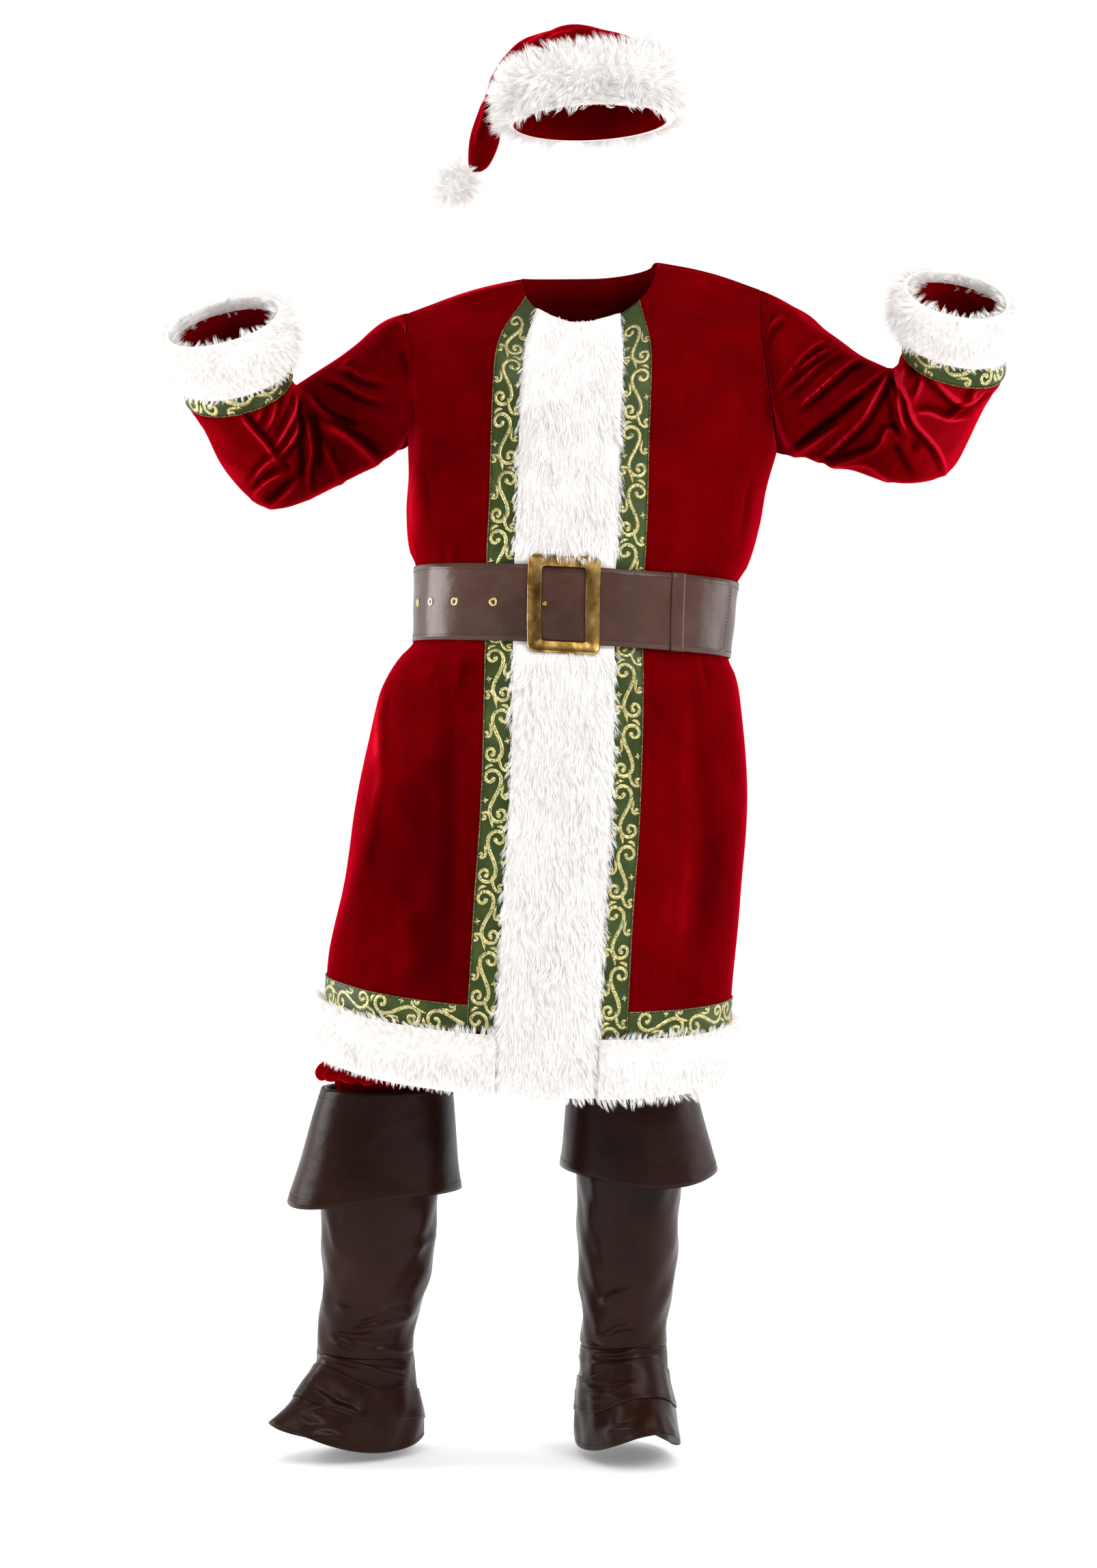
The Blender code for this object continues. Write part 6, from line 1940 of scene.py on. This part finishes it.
def fit_eyelets(strap):
    """Holes cut through the strap's free end, with a rolled brass rim in each."""
    hole, rim = EYELET_HOLE, 0.0007
    on_axis = 0.00005
    for number, column in enumerate(EYELET_PLACES, 1):
        point, normal = belt_place("right", column)
        rest = float(belt_rest(np.array(column), "front"))
        rest += float(np.interp(column, (FUR_HALF, TRIM_EDGE), (BELT_LAYER, 0.0)))
        profile = ((on_axis, -0.01), (hole, -0.01), (hole, 0.014), (on_axis, 0.014))
        cutter = turned("eyelet_cutter", profile, point, normal, DARK_THREAD)
        cut = strap.modifiers.new("eyelet", "BOOLEAN")
        cut.object = cutter
        cut.solver = "EXACT"
        graph = bpy.context.evaluated_depsgraph_get()
        mesh = bpy.data.meshes.new_from_object(strap.evaluated_get(graph))
        strap.modifiers.clear()
        strap.data = mesh
        bpy.data.objects.remove(cutter)
        top = rest + BELT_THICK
        profile = [(hole - 0.0009, rest + 0.0006), (hole - 0.0002, rest + 0.0006), (hole - 0.0002, top)]
        profile += [(EYELET_FLANGE, top + 0.0002)]
        for a in np.radians((0, 45, 90, 135)):
            profile.append((EYELET_FLANGE - 0.0012 + 0.0012 * math.cos(a), top + 0.0004 + rim * math.sin(a)))
        profile.append((hole - 0.0003, top + 0.0008))
        ring = turned("belt_eyelet_%d_brass" % number, profile, point, normal, EYELET_GOLD)
        finish_piece(ring, "brass", "belt_eyelet_%d" % number)


def build_keeper():
    """A narrow leather loop over both layers."""
    columns = np.linspace(KEEPER[0], KEEPER[1], 9)
    low, high = BELT_LOW - 0.0016, BELT_TOP + 0.0016
    flat = np.linspace(low + 0.0016, high - 0.0016, 13)
    levels = np.array([low, low + 0.0004, *flat, high - 0.0004, high])
    points = coat_half("left", "front", columns, levels)
    normals = grid_normals(points)
    top = float(belt_rest(np.array(KEEPER[0]), "front")) + BELT_LAYER + BELT_THICK + 0.0012
    across = np.abs(np.linspace(-1, 1, len(columns)))
    height = np.full((len(levels), len(columns)), top + 0.0014) - 0.0005 * across[None] ** 4
    height[0] = height[-1] = 0.0022
    height[1] = height[-2] = top + 0.0004
    inside = np.minimum(height - 0.0014, top)
    inside[0] = inside[-1] = 0.0012
    inside[1] = inside[-2] = top - 0.0004
    outer, inner = lifted(points, normals, height), lifted(points, normals, inside)
    inner[0] += (0, 0, 0.0012)
    inner[-1] -= (0, 0, 0.0012)
    finish_piece(wall("belt_keeper_leather", outer, inner, BELT_LEATHER), "belt_leather", "belt_keeper")


def rounded_rectangle(half_width, half_height, corner, each=7, straight=14):
    """Points round it, with so many steps to each corner and to each straight side."""
    middle = np.array((half_width - corner, half_height - corner))
    arcs = []
    for quarter, signs in enumerate(((1, 1), (-1, 1), (-1, -1), (1, -1))):
        a = np.linspace(quarter, quarter + 1, each + 1) * math.pi / 2
        arcs.append(middle * signs + corner * np.stack([np.cos(a), np.sin(a)], axis=1))
    share = (np.arange(1, straight) / straight)[:, None]
    sides = [arc[-1] + (after[0] - arc[-1]) * share for arc, after in zip(arcs, arcs[1:] + arcs[:1])]
    return np.concatenate([part for pair in zip(arcs, sides) for part in pair])


# Buckle frame's section, from its outer edge over the top to its inner edge: spread, height
BUCKLE_OUTSIDE = ((0.0, 0.0), (0.0, 0.0022), (-0.0005, 0.0031), (-0.0016, 0.0036))
BUCKLE_INSIDE = ((0.0016, 0.0041), (0.0006, 0.0038), (0.0, 0.0028), (0.0, 0.0))


def build_buckle():
    columns = np.linspace(0.0, 0.06, 13)
    levels = np.linspace(BELT_MIDDLE - 0.08, BELT_MIDDLE + 0.08, 33)
    halves = [coat_half(side, "front", columns, levels) for side in ("right", "left")]
    points = np.concatenate([halves[0], halves[1][:, 1:]], axis=1)
    normals = grid_normals(points)
    across = np.concatenate([-columns[::-1], columns[1:]])
    face = Ribbon(points, normals)

    def on_face(loop, lift):
        rows = np.interp(BELT_MIDDLE + loop[:, 1], levels, np.arange(len(levels)))
        along = np.interp(rows, np.arange(len(face.run)), face.run)
        columns_at = np.interp(loop[:, 0], across, np.arange(len(across))) / (len(across) - 1)
        return face.at(along, columns_at * face.wide, lift)

    base = FUR_REST + BELT_LAYER + BELT_THICK + 0.0008
    wide, tall = BUCKLE_HALF_WIDTH - BUCKLE_BAR, BUCKLE_HALF_HEIGHT - BUCKLE_BAR * 0.92
    rings = []
    for half_wide, half_tall, corner, section in (
        (BUCKLE_HALF_WIDTH, BUCKLE_HALF_HEIGHT, BUCKLE_CORNER, BUCKLE_OUTSIDE),
        (wide, tall, 0.004, BUCKLE_INSIDE),
    ):
        for grow, lift in section:
            outline = rounded_rectangle(half_wide + grow, half_tall + grow, corner + grow)
            rings.append(on_face(outline, base + lift))
    rings = np.array(rings)
    faces = ring_faces(*rings.shape[:2], ends_meet=True)
    piece = add_piece("buckle_frame_brass", rings.reshape(-1, 3), faces, BRASS)
    piece.data.set_sharp_from_angle(angle=math.radians(50))
    finish_piece(piece, "brass", "buckle_frame")
    point, normal = belt_place("right", wide - 0.004)
    bottom, on_axis = base + 0.0018, 0.00005
    profile = [(on_axis, bottom - 0.002), (0.0024, bottom - 0.002), (0.0024, bottom)]
    for a in np.radians(range(0, 91, 15)):
        profile.append((max(0.0033 * math.cos(a), on_axis), bottom + 0.0008 + 0.0026 * math.sin(a)))
    finish_piece(turned("buckle_prong_brass", profile, point, normal, BRASS), "brass", "buckle_prong")


# ---- stage


FLOOR = -1.516
EYE = (-0.0535, -4.0, -0.638)
LENS = 72.1
FILM_WIDTH = 36.0
# Lights: name, place, size in metres or the sun's in radians, power
LIGHTS = (
    ("key", (2.4, -3.0, 1.3), 1.6, 66.0),
    ("fill", (-2.8, -2.8, 0.2), 2.0, 8.0),
    ("left_rim", (-2.6, 0.5, -0.2), 1.4, 48.0),
    ("right_rim", (2.6, 0.7, -0.2), 1.4, 22.0),
    ("sun", (0.4, -2.2, 3.0), 0.9, 1.7),
)
LIT_PLACE = (0.0, 0.0, -0.6)


def build_stage():
    """Pale floor, soft studio lights and the camera."""
    bpy.ops.mesh.primitive_plane_add(size=60, location=(0.0, 0.0, FLOOR))
    floor = bpy.context.object
    floor.name = "floor"
    made, tree, shader = material_base("pale_floor", Roughness=0.9, Specular_IOR_Level=0.1)
    pale = (0.92, 0.92, 0.92)
    feed_all(tree, shader, Base_Color=pale, Emission_Color=pale, Emission_Strength=0.22)
    floor.data.materials.append(made)
    world = bpy.data.worlds.new("studio")
    bpy.context.scene.world = world
    world.use_nodes = True
    tree = world.node_tree
    ahead = add_node(tree, "ShaderNodeSeparateXYZ", Vector=place(tree, source="Generated")).outputs["Y"]
    room = levels_of(tree, ahead, -0.25, 0.35, 0.22, 1.0)
    seen = add_node(tree, "ShaderNodeLightPath").outputs["Is Camera Ray"]
    feed_all(tree, tree.nodes["Background"], Color=(1.0, 1.0, 1.0), Strength=maths(tree, "MAXIMUM", room, seen))
    for name, spot, size, power in LIGHTS:
        light = bpy.data.lights.new(name, "SUN" if name == "sun" else "AREA")
        setattr(light, "angle" if name == "sun" else "size", size)
        light.energy = power
        lamp = bpy.data.objects.new(name, light)
        lamp.location = spot
        x, y, z = np.array(LIT_PLACE) - np.array(spot)
        lamp.rotation_euler = (math.atan2(math.hypot(x, y), -z), 0.0, math.atan2(y, x) - math.pi / 2)
        bpy.context.scene.collection.objects.link(lamp)
    bpy.context.scene.view_settings.view_transform = "Standard"
    camera = bpy.data.cameras.new("camera")
    camera.lens = LENS
    camera.sensor_width = FILM_WIDTH
    held = bpy.data.objects.new("camera", camera)
    held.location = EYE
    held.rotation_euler = (math.pi / 2, 0.0, 0.0)
    bpy.context.scene.collection.objects.link(held)
    bpy.context.scene.camera = held


build_stage()
build_coat()
build_trims()
build_front_fur()
build_hem_fur()
build_sleeves()
build_hat()
build_trousers()
build_boots()
build_belt()
for spare in [STITCH, *LOCKS.objects]:
    bpy.data.objects.remove(spare)
